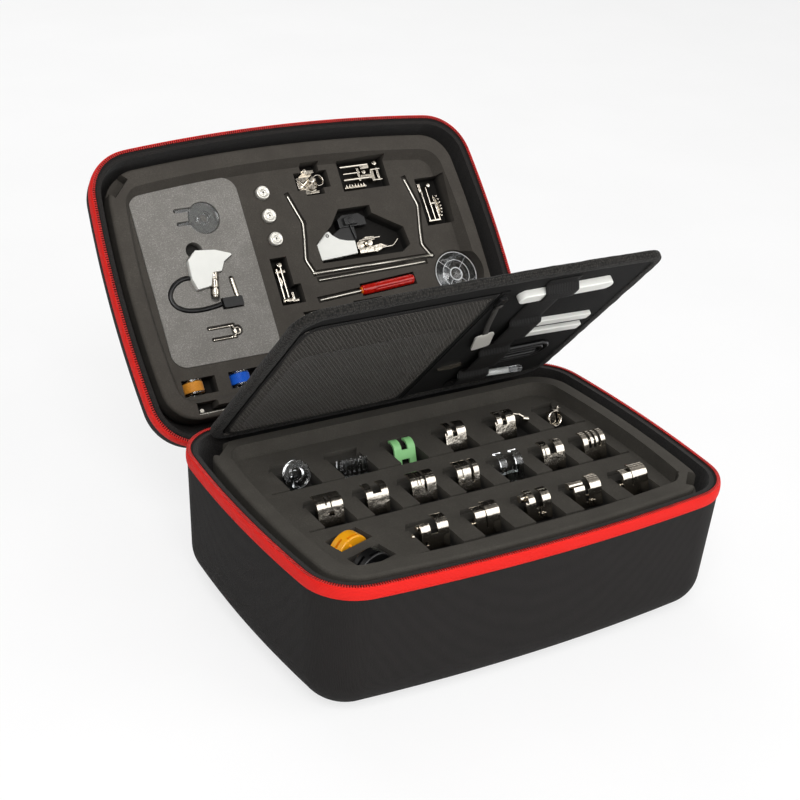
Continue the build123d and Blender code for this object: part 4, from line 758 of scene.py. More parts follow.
hingeCloth(
    "hinge_spine_cloth", "hinge_spine",
    [Vector((spineLook["baseWall"], lidHinge.z - spineLook["baseLeg"])), Vector((lidHinge.y, lidHinge.z)),
     closedToOpen(lidHinge.y, zipLine), closedToOpen(spineLook["lidWall"], lidHinge.z + spineLook["lidLeg"])],
    spineLook, "nylon",
)
stripLow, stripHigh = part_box("divider_hinge_strip")
stripBack = stripHigh.y / mm - stripLook["inside"]
stripTop = stripHigh.z / mm
hingeCloth(
    "divider_strip_cloth", "divider_hinge_strip",
    [Vector((stripBack, stripLow.z / mm)), Vector((stripBack, stripTop - stripLook["fold"])),
     Vector((stripLow.y / mm + stripLook["inside"], stripTop - stripLook["under"]))],
    stripLook, "laminate",
)
print("hinge cloths made")


# Round cords held in the case
def tubePiece(name, route, radius, place, body, stands):
    # smooth curve through control points, in millimetres
    curve = bpy.data.curves.new(name, "CURVE")
    curve.dimensions = "3D"
    curve.bevel_depth = radius * mm
    curve.bevel_resolution = 5
    curve.use_fill_caps = True
    spline = curve.splines.new("NURBS")
    spline.points.add(len(route) - 1)
    for point, spot in zip(spline.points, route):
        point.co = (*(place @ Vector(spot)), 1)
    spline.order_u = 3
    spline.use_endpoint_u = True
    spline.resolution_u = 8
    piece = bpy.data.objects.new(name, curve)
    bpy.context.scene.collection.objects.link(piece)
    curve.materials.append(finish["jacket"])
    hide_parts(stands)
    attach(piece, body)


leadLevel = -20.1
leadRoute = [(-106, 13, leadLevel), (-114, 17.5, leadLevel), (-125, 18.5, leadLevel), (-135.5, 14, leadLevel),
             (-142, 5, leadLevel), (-140, -5, leadLevel), (-130.5, -11, leadLevel), (-117, -12.5, leadLevel),
             (-104, -11.5, leadLevel), (-95.5, -10, leadLevel)]
tubePiece("sensor_lead_jacket", leadRoute, 1.8, lidPlace, "lid", "sensor_lead")

beltLook = {"tube": 2.1, "pitch": 5.2, "run": 20.0, "outer": 13.0, "centre": (104.0, 66.0), "halfTurns": 4,
            "fullness": 1.04, "turnSteps": 8, "tail": 0.3}


def spareBelt():
    # flat spiral: runs joined by half turns that shrink steadily
    x, y, radius, direction = -beltLook["run"], beltLook["outer"], beltLook["outer"], 1
    level = toolRest + beltLook["tube"]
    cx, cy = beltLook["centre"]
    route = [(cx + x, cy + y, level)]
    for _ in range(beltLook["halfTurns"]):
        x = direction * beltLook["run"]
        nextY = y - direction * (2 * radius - beltLook["pitch"] / 2)
        middle, half = (y + nextY) / 2, abs(y - nextY) / 2
        for k in range(beltLook["turnSteps"] + 1):
            a = pi * k / beltLook["turnSteps"]
            wide, tall = half * beltLook["fullness"] * sin(a), (y - middle) * beltLook["fullness"] * cos(a)
            route.append((cx + x + direction * wide, cy + middle + tall, level))
        radius -= beltLook["pitch"] / 2
        y, direction = nextY, -direction
    route.append((cx - x * beltLook["tail"], cy + y, level))
    route.append((cx - x, cy + y, level))
    tubePiece("spare_belt_rubber", route, beltLook["tube"], dividerPlace, "divider", "spare_belt")


spareBelt()

threadLook = {"core": 8.9, "thread": 0.3, "sunk": 0.9, "width": 8.9, "turns": 15, "turnSteps": 36,
              "bore": 4.1}
bobbinPlaces = {"orange": (-142.2, -79.0), "blue": (-97.0, -79.0)}
bobbinAxis = -23.7


def woundBobbinThread(colour, spot):
    # a worn-flat core of older layers and one strand wound over it, turn beside turn
    work = bmesh.new()
    half = threadLook["width"] / 2
    bore, core = threadLook["bore"], threadLook["core"]
    loft(work, [[Vector((r * c, y, r * s)) for c, s in circle(48)]
                for y, r in ((-half, bore), (-half, core), (half, core), (half, bore))], closedAlong=True)
    steps = threadLook["turns"] * threadLook["turnSteps"]
    rings = []
    reach = core + threadLook["thread"] * threadLook["sunk"]
    for i in range(steps + 1):
        a = 2 * pi * i / threadLook["turnSteps"]
        y = -half + threadLook["thread"] + (threadLook["width"] - 2 * threadLook["thread"]) * i / steps
        out = Vector((cos(a), 0, sin(a)))
        centre = out * reach + Vector((0, y, 0))
        rings.append([centre + (out * c + Vector((0, 1, 0)) * s) * threadLook["thread"]
                      for c, s in circle(6)])
    loft(work, rings)
    place = lidPlace @ Matrix.Translation((*spot, bobbinAxis))
    meshPiece("thread_%s_wound" % colour, work, place, "thread" + colour.title(), "lid", ["thread_" + colour])


for colour, spot in bobbinPlaces.items():
    woundBobbinThread(colour, spot)
print("cords and threads made")

# Presser feet
footLook = {"plate": 1.3, "straight": 14.5, "toeRadius": 10.0, "curl": 95.0, "lean": 20.0, "seat": 93.85,
            "setBack": 2.5, "pocketLength": 33.0, "edge": 0.28}
wallLook = {"in": 0.65, "thick": 1.1, "depth": 4.5, "top": 17.0, "start": 0.6, "steps": 10}
earLook = {"inset": 5.0, "low": 3.0, "high": 14.0, "deep": 9.0, "cut": 2.5, "half": 0.6, "pin": 1.15,
           "head": 1.9, "pinBack": 3.0, "pinOver": 1.6, "headOut": 0.9, "headIn": 0.1}
screwLook = {"dome": 0.25, "slotUp": 0.2, "slotShare": 0.6, "slotRadius": 0.28}
footRows = {
    1: {"front": -93.0, "start": -64.0, "pitch": 49.5},
    2: {"front": -29.0, "start": -121.0, "pitch": 43.5},
    3: {"front": 34.0, "start": -118.0, "pitch": 52.0},
}
footLength = footLook["straight"] + footLook["toeRadius"] * radians(footLook["curl"])


def soleSpot(u, v, width, inset=0.0):
    # point of the sole: u across it, v up from the heel, round the toes at the top
    straight, r = footLook["straight"], footLook["toeRadius"] - inset
    if v <= straight:
        return Vector((u - width / 2, inset, v))
    a = (v - straight) / footLook["toeRadius"]
    return Vector((u - width / 2, footLook["toeRadius"] - r * cos(a), straight + r * sin(a)))


def addSole(work, width, cuts, plate, inset=0.0, span=None):
    # curved plate with slots; a cut is (u from, u to, v from, v to)
    u0, u1 = span or (0.0, width)
    us = sorted({u0, u1, *[c for cut in cuts for c in cut[:2] if u0 < c < u1],
                 *[u0 + (u1 - u0) * k / 8 for k in range(9)]})
    vs = sorted({0.0, footLength, *[c for cut in cuts for c in cut[2:] if 0 < c < footLength],
                 *[footLength * k / 22 for k in range(23)]})
    grid = {}

    def spot(i, j):
        if (i, j) not in grid:
            grid[i, j] = work.verts.new(soleSpot(us[i], vs[j], width, inset))
        return grid[i, j]

    faces = []
    for i in range(len(us) - 1):
        for j in range(len(vs) - 1):
            u, v = (us[i] + us[i + 1]) / 2, (vs[j] + vs[j + 1]) / 2
            if any(a < u < b and c < v < d for a, b, c, d in cuts):
                continue
            faces.append(work.faces.new((spot(i, j), spot(i + 1, j), spot(i + 1, j + 1), spot(i, j + 1))))
    bmesh.ops.recalc_face_normals(work, faces=faces)
    bmesh.ops.solidify(work, geom=faces, thickness=plate)


def addSideWall(work, x):
    # turned-up edge along one side of the sole
    steps, near = wallLook["steps"], wallLook["start"]
    front = [soleSpot(x, wallLook["top"] * k / steps, 0, near) for k in range(steps + 1)]
    back = []
    for k in range(steps + 1):
        deep = near + wallLook["depth"] * min(1, (steps - k) / 4 + 0.25)
        back.append(soleSpot(x, wallLook["top"] * k / steps, 0, deep))
    half = wallLook["thick"] / 2
    addPrism(work, [(p.y, p.z) for p in front + back[::-1]], x - half, x + half)


def addEars(work, width):
    # the two lugs that carry the cross pin
    low, high, deep, near, cut = (earLook[k] for k in ("low", "high", "deep", "half", "cut"))
    outline = [(near, low), (deep - cut, low), (deep, low + cut), (deep, high - cut), (deep - cut, high),
               (near, high)]
    middle = width / 2 - earLook["inset"]
    for x in (-middle, middle):
        addPrism(work, outline, x - near, x + near)
    pinY, pinZ = deep - earLook["pinBack"], (low + high) / 2
    reach = middle + earLook["pinOver"]
    addRod(work, (-reach, pinY, pinZ), (reach, pinY, pinZ), earLook["pin"], domes=0.5)
    head = ((x, pinY, pinZ) for x in (-reach - earLook["headOut"], -reach + earLook["headIn"]))
    addRod(work, *head, earLook["head"], domes=0.3)


def addScrew(work, spot, direction, radius, height):
    start = Vector(spot)
    axis = Vector(direction).normalized()
    addRod(work, start, start + axis * height, radius, sides=18, domes=screwLook["dome"])
    slot = start + axis * (height + screwLook["slotUp"])
    side = axis.orthogonal().normalized() * radius * screwLook["slotShare"]
    addRod(work, slot - side, slot + side, screwLook["slotRadius"], sides=6)


def addSpring(work, start, end, radius, wire, turns):
    # small coil spring between two points
    start, end = Vector(start), Vector(end)
    axis = (end - start).normalized()
    a = axis.orthogonal().normalized()
    b = axis.cross(a)
    rings = []
    steps = turns * 16
    for i in range(steps + 1):
        t = 2 * pi * i / 16
        out = a * cos(t) + b * sin(t)
        centre = start.lerp(end, i / steps) + out * radius
        rings.append([centre + (out * c + axis * s) * wire for c, s in circle(6)])
    loft(work, rings)


top = footLength + 1.0
footKinds = {
    # width, what is mounted on the sole, and the sole's slots: (u from, u to, v from, v to)
    "twinToe": (25.0, "roll", [(8.5, 15.0, 12.0, top), (0, 8.5, 21.5, top), (2.5, 5.5, 4, 7)]),
    "stepToe": (23.0, "back", [(9.6, 10.6, 6.0, top), (0, 9.6, 20.0, top)]),
    "pipingToe": (24.0, "bar", [(9.0, 16.0, 10.5, top), (0, 3.0, 16.0, top), (11.8, 13.2, 3.0, 10.5)]),
    "rollToe": (27.0, "bar", [(10.5, 13.5, 5.0, top), (13.5, 16.0, 15.0, top), (0, 10.5, 19.0, top)]),
    "wideToe": (25.0, "back", [(9.0, 9.9, 9.0, top), (0, 9.0, 20.5, top)]),
    "grooved": (23.0, "spring", [(7.5, 9.0, 17.0, 24.5), (12.0, 13.2, 15.0, 24.5), (9.0, 14.5, 8.0, 11.0)]),
    "openToe": (20.0, None, [(6.0, 14.0, 17.0, top)]),
    "ribToe": (23.0, "spring", [(5.5, 6.5, 15, top), (8.5, 9.3, 15, top), (12.0, 14.2, 9.0, top)]),
    "cordToe": (21.0, None, [(4.5, 5.5, 12, top), (13.0, 16.0, 7.0, top)]),
    "satinToe": (22.0, None, [(7.0, 14.0, 14.0, top), (2.0, 3.0, 10.0, 20.0)]),
    "teethToe": (23.0, "spring", [(5.0, 8.0, 11.0, top), (10.5, 13.0, 11.0, top), (15.5, 18.5, 11.0, top)]),
    "narrowToe": (21.0, "spring", [(7.5, 12.0, 13.0, top), (0, 2.2, 15.0, top)]),
}
rollLook = {"from": -1.0, "to": 6.5, "y": 6.0, "z": 17.5, "radius": 2.6, "screw": (-4.5, 5.0, 12.0)}
backLook = {"plate": 1.0, "behind": 2.6, "span": (1.0, 10.5), "screw": (-0.2, 5.5, 10.0)}
barLook = {"over": 1.5, "y": 8.0, "z": 19.0, "radius": 3.1, "pins": (1.0, 4.0), "pinY": -1.6,
           "pinZ": (3.0, 6.0)}
springLook = {"half": 5.0, "rodHalf": 6.0, "y": 4.5, "z": 16.5, "radius": 1.7, "wire": 0.35, "turns": 7}


def addRoll(work, width):
    left, y, z = -width / 2, rollLook["y"], rollLook["z"]
    start, end = ((left + rollLook[key], y, z) for key in ("from", "to"))
    addRod(work, start, end, rollLook["radius"], 20, 0.6)
    addScrew(work, Vector(rollLook["screw"]) + Vector((left, 0, 0)), (-1, 0, 0.2), 1.6, 1.8)


def addBack(work, width):
    addSole(work, width, [], backLook["plate"], inset=backLook["behind"], span=backLook["span"])
    addScrew(work, Vector(backLook["screw"]) + Vector((-width / 2, 0, 0)), (-1, 0, 0), 1.5, 1.6)


def addBar(work, width):
    y, z, over = barLook["y"], barLook["z"], barLook["over"]
    addRod(work, (-width / 2 - over, y, z), (-over, y, z), barLook["radius"], 24, 0.4)
    for x in barLook["pins"]:
        addRod(work, *((x, barLook["pinY"], z) for z in barLook["pinZ"]), 1.0, domes=0.3)


def addToeSpring(work, width):
    half, rod, y, z, radius, wire, turns = springLook.values()
    addSpring(work, (-half, y, z), (half, y, z), radius, wire, turns)
    addRod(work, (-rod, y, z), (rod, y, z), 0.7)


footExtras = {"roll": addRoll, "back": addBack, "bar": addBar, "spring": addToeSpring}


def presserFoot(kind):
    # one plated foot, heel down, sole to the front, toes curling back at the top
    width, extra, slots = footKinds[kind]
    edge = width / 2 - wallLook["in"]
    work = bmesh.new()
    addSole(work, width, slots, footLook["plate"])
    for x in (-edge, edge):
        addSideWall(work, x)
    addEars(work, width)
    if extra:
        footExtras[extra](work, width)
    return work


def seatFoot(work, row, index):
    # leaned back and stood on the floor of its pocket
    spec = footRows[row]
    work.transform(Matrix.Rotation(-radians(footLook["lean"]), 4, "X"))
    low = min(v.co.z for v in work.verts)
    x = spec["start"] + index * spec["pitch"]
    y = spec["front"] + footLook["pocketLength"] / 2 - footLook["setBack"]
    work.transform(Matrix.Translation((x, y, footLook["seat"] - low)))


def joined(parts):
    # several bmeshes as one
    whole = bmesh.new()
    for part in parts:
        mesh = bpy.data.meshes.new("part")
        part.to_mesh(mesh)
        part.free()
        whole.from_mesh(mesh)
        bpy.data.meshes.remove(mesh)
    return whole


leverLook = {"link": ((4, 6, 15), (10, 4, 21)), "cap": (2.0, 9.0, 3.0, 9.0, 19.5, 21.5),
             "arm": ((7, 5, 21.5), (15, 2, 19.5), (21, 0.5, 15.0)),
             "fork": ((18.5, 0.5, 15.0), (23.5, 0, 13.5))}
ringLook = {"radius": 6.8, "wire": 1.5, "deep": 2.1, "height": 9.5, "shank": (-3.0, 3.0, 2.0, 8.0, 2.0, 15.0),
            "post": ((6.5, 3, 8), (6.5, 3, 19)), "clamp": (5.0, 8.5, 1.5, 5.0, 15.0, 18.0)}


def walkingFoot():
    # plated frame with a long fork lever that rests on the foam to its right
    work = presserFoot("narrowToe")
    addRod(work, *leverLook["link"], 1.1)
    addBox(work, *leverLook["cap"])
    for a, b in zip(leverLook["arm"], leverLook["arm"][1:]):
        addRod(work, a, b, 1.3, sides=8)
    addRod(work, *leverLook["fork"], 2.0, sides=10, domes=0.4)
    return work


def ringFoot():
    # darning foot: an open ring on a short shank, with a small clamp
    work = bmesh.new()
    rings = []
    for c, s in circle(40):
        out = Vector((c, 0, s))
        centre = Vector((0, 0, ringLook["height"])) + out * ringLook["radius"]
        rings.append([centre + out * ringLook["wire"] * a + Vector((0, ringLook["deep"], 0)) * b
                      for a, b in circle(8)])
    loft(work, rings, closedAlong=True)
    addBox(work, *ringLook["shank"])
    addRod(work, *ringLook["post"], 1.4, domes=0.4)
    addBox(work, *ringLook["clamp"])
    return work


buttonholeLook = {"width": 24.0, "plate": 2.6, "scale": 0.86, "edge": 0.5,
                  "slots": [(8.5, 15.5, 14.5, top), (7.5, 16.5, -1.0, 5.0)]}


def buttonholeFoot():
    # moulded buttonhole foot: a short curled sole, notched from both ends
    work = bmesh.new()
    addSole(work, buttonholeLook["width"], buttonholeLook["slots"], buttonholeLook["plate"])
    work.transform(Matrix.Scale(buttonholeLook["scale"], 4))
    seatFoot(work, 3, 2)
    piece = meshPiece("buttonhole_foot_moulded", work, metres, "green", "base", ["green_buttonhole_foot"])
    softEdges(piece, buttonholeLook["edge"], segments=3)


metalRows = {
    # row: (pocket, kind of foot)
    1: [(0, "twinToe"), (1, "stepToe"), (2, "pipingToe"), (3, "rollToe"), (4, "wideToe")],
    2: [(0, "grooved"), (1, "openToe"), (2, "ribToe"), (3, "cordToe"), (5, "satinToe"), (6, "teethToe")],
    3: [(3, "narrowToe"), (4, "walking"), (5, "ring")],
}


def footRow(row, feet):
    parts = []
    for index, kind in feet:
        part = walkingFoot() if kind == "walking" else ringFoot() if kind == "ring" else presserFoot(kind)
        seatFoot(part, row, index)
        parts.append(part)
    piece = meshPiece("plated_feet_row_%d" % row, joined(parts), metres, "plated", "base",
                      ["metal_feet_row_%d" % row])
    softEdges(piece, footLook["edge"])


buttonholeFoot()
for row, feet in metalRows.items():
    footRow(row, feet)
print("presser feet made")

# Attachments in the lid


def addTube(work, route, radius, smoothing):
    # round wire along a line that lies more or less flat in the lid
    line = smoothed(resample([Vector(p) for p in route], 1.5, False), smoothing)
    rings = []
    for i, centre in enumerate(line):
        along = (line[min(i + 1, len(line) - 1)] - line[max(i - 1, 0)]).normalized()
        side = along.cross(Vector((0, 0, 1))).normalized()
        up = side.cross(along)
        rings.append([centre + (side * c + up * s) * radius for c, s in circle(8)])
    loft(work, rings)


def addRing(work, centre, radius, wire, height=1.0):
    # round hoop lying in the lid's plane
    rings = []
    for c, s in circle(64):
        out = Vector((c, s, 0))
        rings.append([Vector(centre) + out * (radius + wire * a) + Vector((0, 0, wire * height * b))
                      for a, b in circle(8)])
    loft(work, rings, closedAlong=True)


def addKnob(work, x, y, low, high, radius):
    addRod(work, (x, y, low), (x, y, high), radius, sides=20, domes=0.3)


def addPlate(work, outline, low, high):
    # plate cut to a flat outline in the lid's plane
    loft(work, [[Vector((x, y, z)) for x, y in outline] for z in (low, high)])


def lidPiece(name, work, material, stands, edge=0.0):
    piece = meshPiece(name, work, lidPlace, material, "lid", stands)
    if edge:
        softEdges(piece, edge)


def offFace(spot):
    # a place in the lid whose level is given from the dark foam's face
    return spot[0], spot[1], lidField + spot[2]


frameLook = {
    "left": [(-2, 81), (6, 53), (3, 38), (-2, 18), (3, 4)], "wire": 1.0, "level": -1.4,
    "right": [(124.5, 82), (131, 54), (125.5, 31), (122.5, 15), (129, 3)],
    "cross": 1.25, "cap": 1.75, "capHalf": 1.6,
    "rod": [(6, -3), (120, -2)], "rodRadius": 1.05, "rodLevel": -1.5,
}


def wireFrame():
    # bent spring wire with a cross rod and two end caps, and a loose rod below it
    level = lidField + frameLook["level"]
    work = bmesh.new()
    arms = [[(x, y, level) for x, y in frameLook[side]] for side in ("left", "right")]
    for arm in arms:
        addTube(work, arm, frameLook["wire"], 3)
    addRod(work, arms[0][-1], arms[1][-1], frameLook["cross"])
    for x, y, z in (arms[0][-1], arms[1][-1]):
        half = frameLook["capHalf"]
        addRod(work, (x - half, y, z), (x + half, y, z), frameLook["cap"], sides=16, domes=0.4)
    start, end = ((x, y, lidField + frameLook["rodLevel"]) for x, y in frameLook["rod"])
    addRod(work, start, end, frameLook["rodRadius"], sides=12, domes=0.4)
    lidPiece("wire_frame_bent", work, "steel", ["wire_frame"])


knobLook = {
    "x": -27.0, "rows": (86.0, 63.5, 41.0), "radius": 6.5, "low": -4.7, "high": 4.3,
    # how far in from the edge, or off the middle, and how far below the top
    "rim": ((0, 1.0), (0.3, 0.3), (1.0, 0), (1.9, 0.1), (2.5, 0.7)),
    "button": ((2.6, 0.7), (2.1, 0.1), (1.6, 0), (1.0, 0), (0.85, 0.3)),
    # black dome standing in for the socket: painted shade
    "socketShade": {"low": 0.9, "high": 0.25, "radius": 0.8},
}


def thumbScrews():
    # turned knobs: rolled edge, shallow dish, a button with a socket in its middle, the socket's shade
    # painted as a black dome
    low, high, radius = lidField + knobLook["low"], lidField + knobLook["high"], knobLook["radius"]
    x, socketShade = knobLook["x"], knobLook["socketShade"]
    profile = [(radius, low)] + [(radius - inset, high - drop) for inset, drop in knobLook["rim"]]
    profile += [(off, high - drop) for off, drop in knobLook["button"]]
    work, socketShades = bmesh.new(), bmesh.new()
    for y in knobLook["rows"]:
        loft(work, [[Vector((x + r * c, y + r * s, z)) for c, s in circle(48)] for r, z in profile])
        # black dome in each button: painted shade of its socket
        addKnob(socketShades, x, y, high - socketShade["low"], high - socketShade["high"], socketShade["radius"])
    lidPiece("thumb_screws_turned", work, "turned", ["thumb_screws"])
    lidPiece("thumb_screw_socket_shades", socketShades, "black", [])


collarLook = {"from": (45.7, -19.1, -2.5), "to": (49.1, -18.9, -2.5), "radius": 3.4}
labelLook = {"start": (62.0, 35.0, 1.3), "turn": -9.0, "from": 4.0, "to": 56.0, "radius": 2.55}


def handleCollar():
    # amber ferrule round the shaft where it enters the handle
    work = bmesh.new()
    start, end = offFace(collarLook["from"]), offFace(collarLook["to"])
    addRod(work, start, end, collarLook["radius"], sides=24, domes=0.3)
    lidPiece("screwdriver_collar", work, "collar", [])


def tubeLabel():
    # paper label rolled inside the clear needle tube
    turn = radians(labelLook["turn"])
    start = Vector(labelLook["start"])
    along = Vector((cos(turn), sin(turn), 0))
    work = bmesh.new()
    ends = (start + along * labelLook[key] for key in ("from", "to"))
    addRod(work, *ends, labelLook["radius"], sides=20)
    meshPiece("needle_tube_label", work, dividerPlace, "label", "divider")


discLook = {
    "centre": (150.0, -19.0), "radius": 22.2, "thick": 0.5, "level": -0.9,
    "ridges": ((21.9, 0.4), (14.0, 0.3), (6.2, 0.65)),
    "spokes": (45, 135, 225, 315), "spoke": (6.5, 21.6, 0.24), "ridgeUp": 0.3, "spokeUp": 0.35,
}


def discGuide():
    # thin clear disc with three polished ridges and four ruled spokes
    cx, cy = discLook["centre"]
    level = lidField + discLook["level"]
    work = bmesh.new()
    addPlate(work, [(cx + discLook["radius"] * c, cy + discLook["radius"] * s) for c, s in circle(64)],
             level - discLook["thick"], level)
    lidPiece("disc_guide_plate", work, "clear", [])
    work = bmesh.new()
    for radius, wire in discLook["ridges"]:
        addRing(work, (cx, cy, level + discLook["ridgeUp"]), radius, wire)
    inner, outer, thin = discLook["spoke"]
    for turn in discLook["spokes"]:
        c, s = cos(radians(turn)), sin(radians(turn))
        ends = ((cx + r * c, cy + r * s, level + discLook["spokeUp"]) for r in (inner, outer))
        addRod(work, *ends, thin, sides=6)
    lidPiece("disc_guide_ridges", work, "brightEdge", ["clear_disc_guide"])


# Each attachment is built of plates (outline, low, high), boxes (x, x, y, y, low, high), knobs (x, y, low,
# high, radius), rods (from, to, radius, bulge of the ends), wires (route, radius) and rings (centre, radius,
# wire, height). x is across the lid, y up it, and levels are from the dark foam's face.
platedLook = {"finish": "plated", "slot": "foot_metal", "edge": 0.25}
attachments = {
    # side cutter: white guard with an eyelet, black body with its needle bar, plated fork arm
    "cutter_guard_moulded": {
        "finish": "white", "stands": ["white_cutter_guard"], "slot": "white_plastic", "edge": 0.6,
        "plates": [([(15.4, 15.6), (15.2, 31), (27.5, 41.6), (31, 42.4), (34, 38), (40, 33.4), (48, 31),
                     (55.6, 30), (55, 17.4)], -6.1, -3.8),
                   ([(20, 17.5), (20, 28), (44, 27), (44, 18)], -14.7, -6.1)],
    },
    "cutter_guard_eyelet": {
        "finish": "black", "stands": [], "slot": "black_plastic", "edge": 0.0,
        "rings": [((28.2, 38.2, -3.8), 1.3, 0.45, 1.0)],
    },
    "cutter_body_moulded": {
        "finish": "black", "stands": ["cutter_clamp"], "slot": "black_plastic", "edge": 0.7,
        "plates": [([(44.4, 44.4), (44.4, 53), (50, 56.6), (68, 56.6), (73.6, 52), (73.6, 44.4)],
                    -14.7, -5.7),
                   ([(50, 46), (50, 53), (60, 55), (64, 46)], -5.7, -3.1),
                   ([(34, 38.4), (41, 33.8), (49, 31.4), (57.5, 30.4), (60, 34), (60, 44.4), (45, 44.4)],
                    -9.7, -6.3)],
        "knobs": [(57, 49.5, -5.7, -2.9, 3.4)],
        "rods": [((55.5, 48, -5.5), (58, 31.5, -5.5), 0.9, 0)],
    },
    "cutter_arm_plated": {
        **platedLook, "stands": ["cutter_arm"],
        "plates": [([(58.5, 16.8), (58.8, 28.6), (70, 33.4), (79, 32.6), (79, 29.5), (66, 28), (66, 22.5),
                     (84, 24.5), (90, 21.5), (78, 17.2)], -10.7, -8.1),
                   ([(58.2, 17), (58.2, 22.5), (76, 21.5), (76, 17)], -14.7, -5.3)],
        "knobs": [(70, 26, -12.7, -4.1, 3.4)],
        "rods": [((61, 30, -7.1), (84, 31, -7.1), 0.8, 0)],
        "wires": [([(84, 20.5, -8.7), (96, 20.6, -8.2), (102.6, 26.5, -7.2)], 0.9)],
    },
    # stamped frames with posts, screws and wires
    "binder_foot_plated": {
        **platedLook, "stands": ["binder_foot"],
        "plates": [([(20.5, 84), (16, 89), (16, 97), (21, 101), (33, 101), (37, 97), (37, 89), (33, 84)],
                    -11.7, -9.9)],
        "boxes": [(14.2, 17, 87, 98, -11.7, -4.9), (21, 34, 101, 104, -11.7, -4.9),
                  (20, 35, 81, 83.4, -11.7, -4.9)],
        "knobs": [(27, 93, -10.2, 0.2, 3.2), (24, 103.6, -8.7, -3.2, 2.0)],
        "wires": [([(18, 84.5, -5.7), (24, 82, -4.2), (31, 84, -4.2)], 0.9),
                  ([(15.5, 98, -5.7), (18.5, 90, -3.7), (22, 86, -3.7)], 0.8)],
        "rings": [((35, 92.5, -3.7), 5.2, 0.9, 1.6)],
    },
    "ruffler_foot_plated": {
        **platedLook, "stands": ["ruffler_foot"],
        "boxes": [(77, 79.2, 86, 98.5, -8.7, -0.8), (82, 91, 97.5, 102.4, -9.7, -1.4),
                  (80, 92, 87.4, 91.5, -9.7, -1.0), (92, 95.5, 84.5, 97, -11.7, -2.8),
                  (98, 100.4, 84.5, 97, -9.7, -1.8), (61, 84, 80.4, 82.6, -11.7, -3.2)],
        "knobs": [(97.5, 101.4, -11.7, -0.2, 2.3), (84, 94.2, -11.7, -0.8, 2.1)],
        "rods": [((60.5, 101.5, -1.8), (90, 101.5, -1.8), 1.25, 0.3),
                 ((62, 94.5, -1.8), (80, 94.5, -1.8), 0.9, 0.3),
                 ((61, 88.5, -1.8), (88, 88.5, -1.8), 1.25, 0.3), ((92, 96, -2.4), (102.5, 96, -2.4), 0.8, 0),
                 ((92, 85.4, -2.4), (102.5, 85.4, -2.4), 0.8, 0),
                 *[((63 + k * 3.1, 80.6, -2.8), (63 + k * 3.1, 84, -2.8), 0.6, 0) for k in range(7)]],
    },
    "gathering_foot_plated": {
        **platedLook, "stands": ["gathering_foot"],
        "plates": [([(153, 39.4), (153, 63), (156.6, 59), (158, 51), (156.6, 43)], -11.7, -5.7)],
        "boxes": [(139, 152.5, 36.4, 38.2, -9.7, -1.8), (145, 152, 53.5, 55.2, -9.7, -1.8),
                  (138.4, 141.2, 67, 75.4, -11.7, -3.2)],
        "knobs": [(149.5, 72.6, -11.7, -1.8, 2.2),
                  *[(154.5 + 2 * sin(pi * k / 6), 41 + k * 3.3, -7.7, -1.6, 1.0) for k in range(7)]],
        "wires": [([(x, 37, -2.0), (x - 0.8, (37 + y) / 2, -1.4), (x - 0.6, y, -2.0)], 0.8)
                  for x, y in ((140.5, 67), (146.5, 71), (151.5, 59))],
    },
    "seam_guide_plated": {
        **platedLook, "stands": ["seam_guide_foot"],
        "boxes": [(-34.6, -24.4, -17.6, -14.6, -12.7, -2.2), (-34.6, -25, 10, 12.5, -10.7, -2.2),
                  (-23.6, -21.4, -17.4, -8.6, -12.7, -4.7), (-28, -17.6, -17.6, -15.4, -12.7, -4.7)],
        "knobs": [(-29.5, 17.2, -12.7, -1.0, 2.4), (-31.4, -16.2, -12.7, -1.2, 1.6)],
        "rods": [((-33.4, -15, -1.8), (-33.4, 14, -1.8), 0.9, 0),
                 ((-29, -14, -1.8), (-29, 15, -1.8), 0.9, 0)],
        "wires": [([(-34, 10, -2.8), (-31, 2, -1.4), (-34, -6, -2.8)], 0.7)],
    },
}


def attachmentPiece(name, look):
    work = bmesh.new()
    for outline, low, high in look.get("plates", ()):
        addPlate(work, outline, lidField + low, lidField + high)
    for x0, x1, y0, y1, low, high in look.get("boxes", ()):
        addBox(work, x0, x1, y0, y1, lidField + low, lidField + high)
    for x, y, low, high, radius in look.get("knobs", ()):
        addKnob(work, x, y, lidField + low, lidField + high, radius)
    for start, end, radius, bulge in look.get("rods", ()):
        addRod(work, offFace(start), offFace(end), radius, domes=bulge)
    for route, radius in look.get("wires", ()):
        addTube(work, [offFace(spot) for spot in route], radius, 2)
    for centre, radius, wire, height in look.get("rings", ()):
        addRing(work, offFace(centre), radius, wire, height)
    lidPiece(name, work, look["finish"], look["stands"], look["edge"])


barrelLook = {
    "top": (-95.0, 20.0, 0.7), "bottom": (-100.0, -3.0, 0.7),
    # shares of the length from and to, radius
    "steps": ((0.0, 0.3, 3.4), (0.3, 0.36, 2.7), (0.36, 0.62, 3.5), (0.62, 0.7, 2.5), (0.7, 0.92, 3.5),
              (0.92, 1.0, 2.7)),
}
forkLook = {
    "route": [(-114.3, -30.4), (-94.5, -30.2), (-90, -31.5), (-88.6, -35.5), (-90, -39.5), (-94.5, -40.8),
              (-112.4, -40.8)],
    "level": -1.5, "wire": 1.15, "eye": (-87.7, -35.5), "eyeRadius": 2.9, "eyeWire": 1.0,
    "sleeves": (-30.4, -40.8), "sleeveX": (-95, -90.5), "sleeveRadius": 1.55,
}


def sensorBarrel():
    # clamp barrel turned from rod: collars and waists
    top, bottom = Vector(offFace(barrelLook["top"])), Vector(offFace(barrelLook["bottom"]))
    work = bmesh.new()
    for start, end, radius in barrelLook["steps"]:
        addRod(work, top.lerp(bottom, start), top.lerp(bottom, end), radius, sides=20)
    lidPiece("sensor_barrel_turned", work, "plated", ["sensor_clamp_barrel"], edge=0.2)


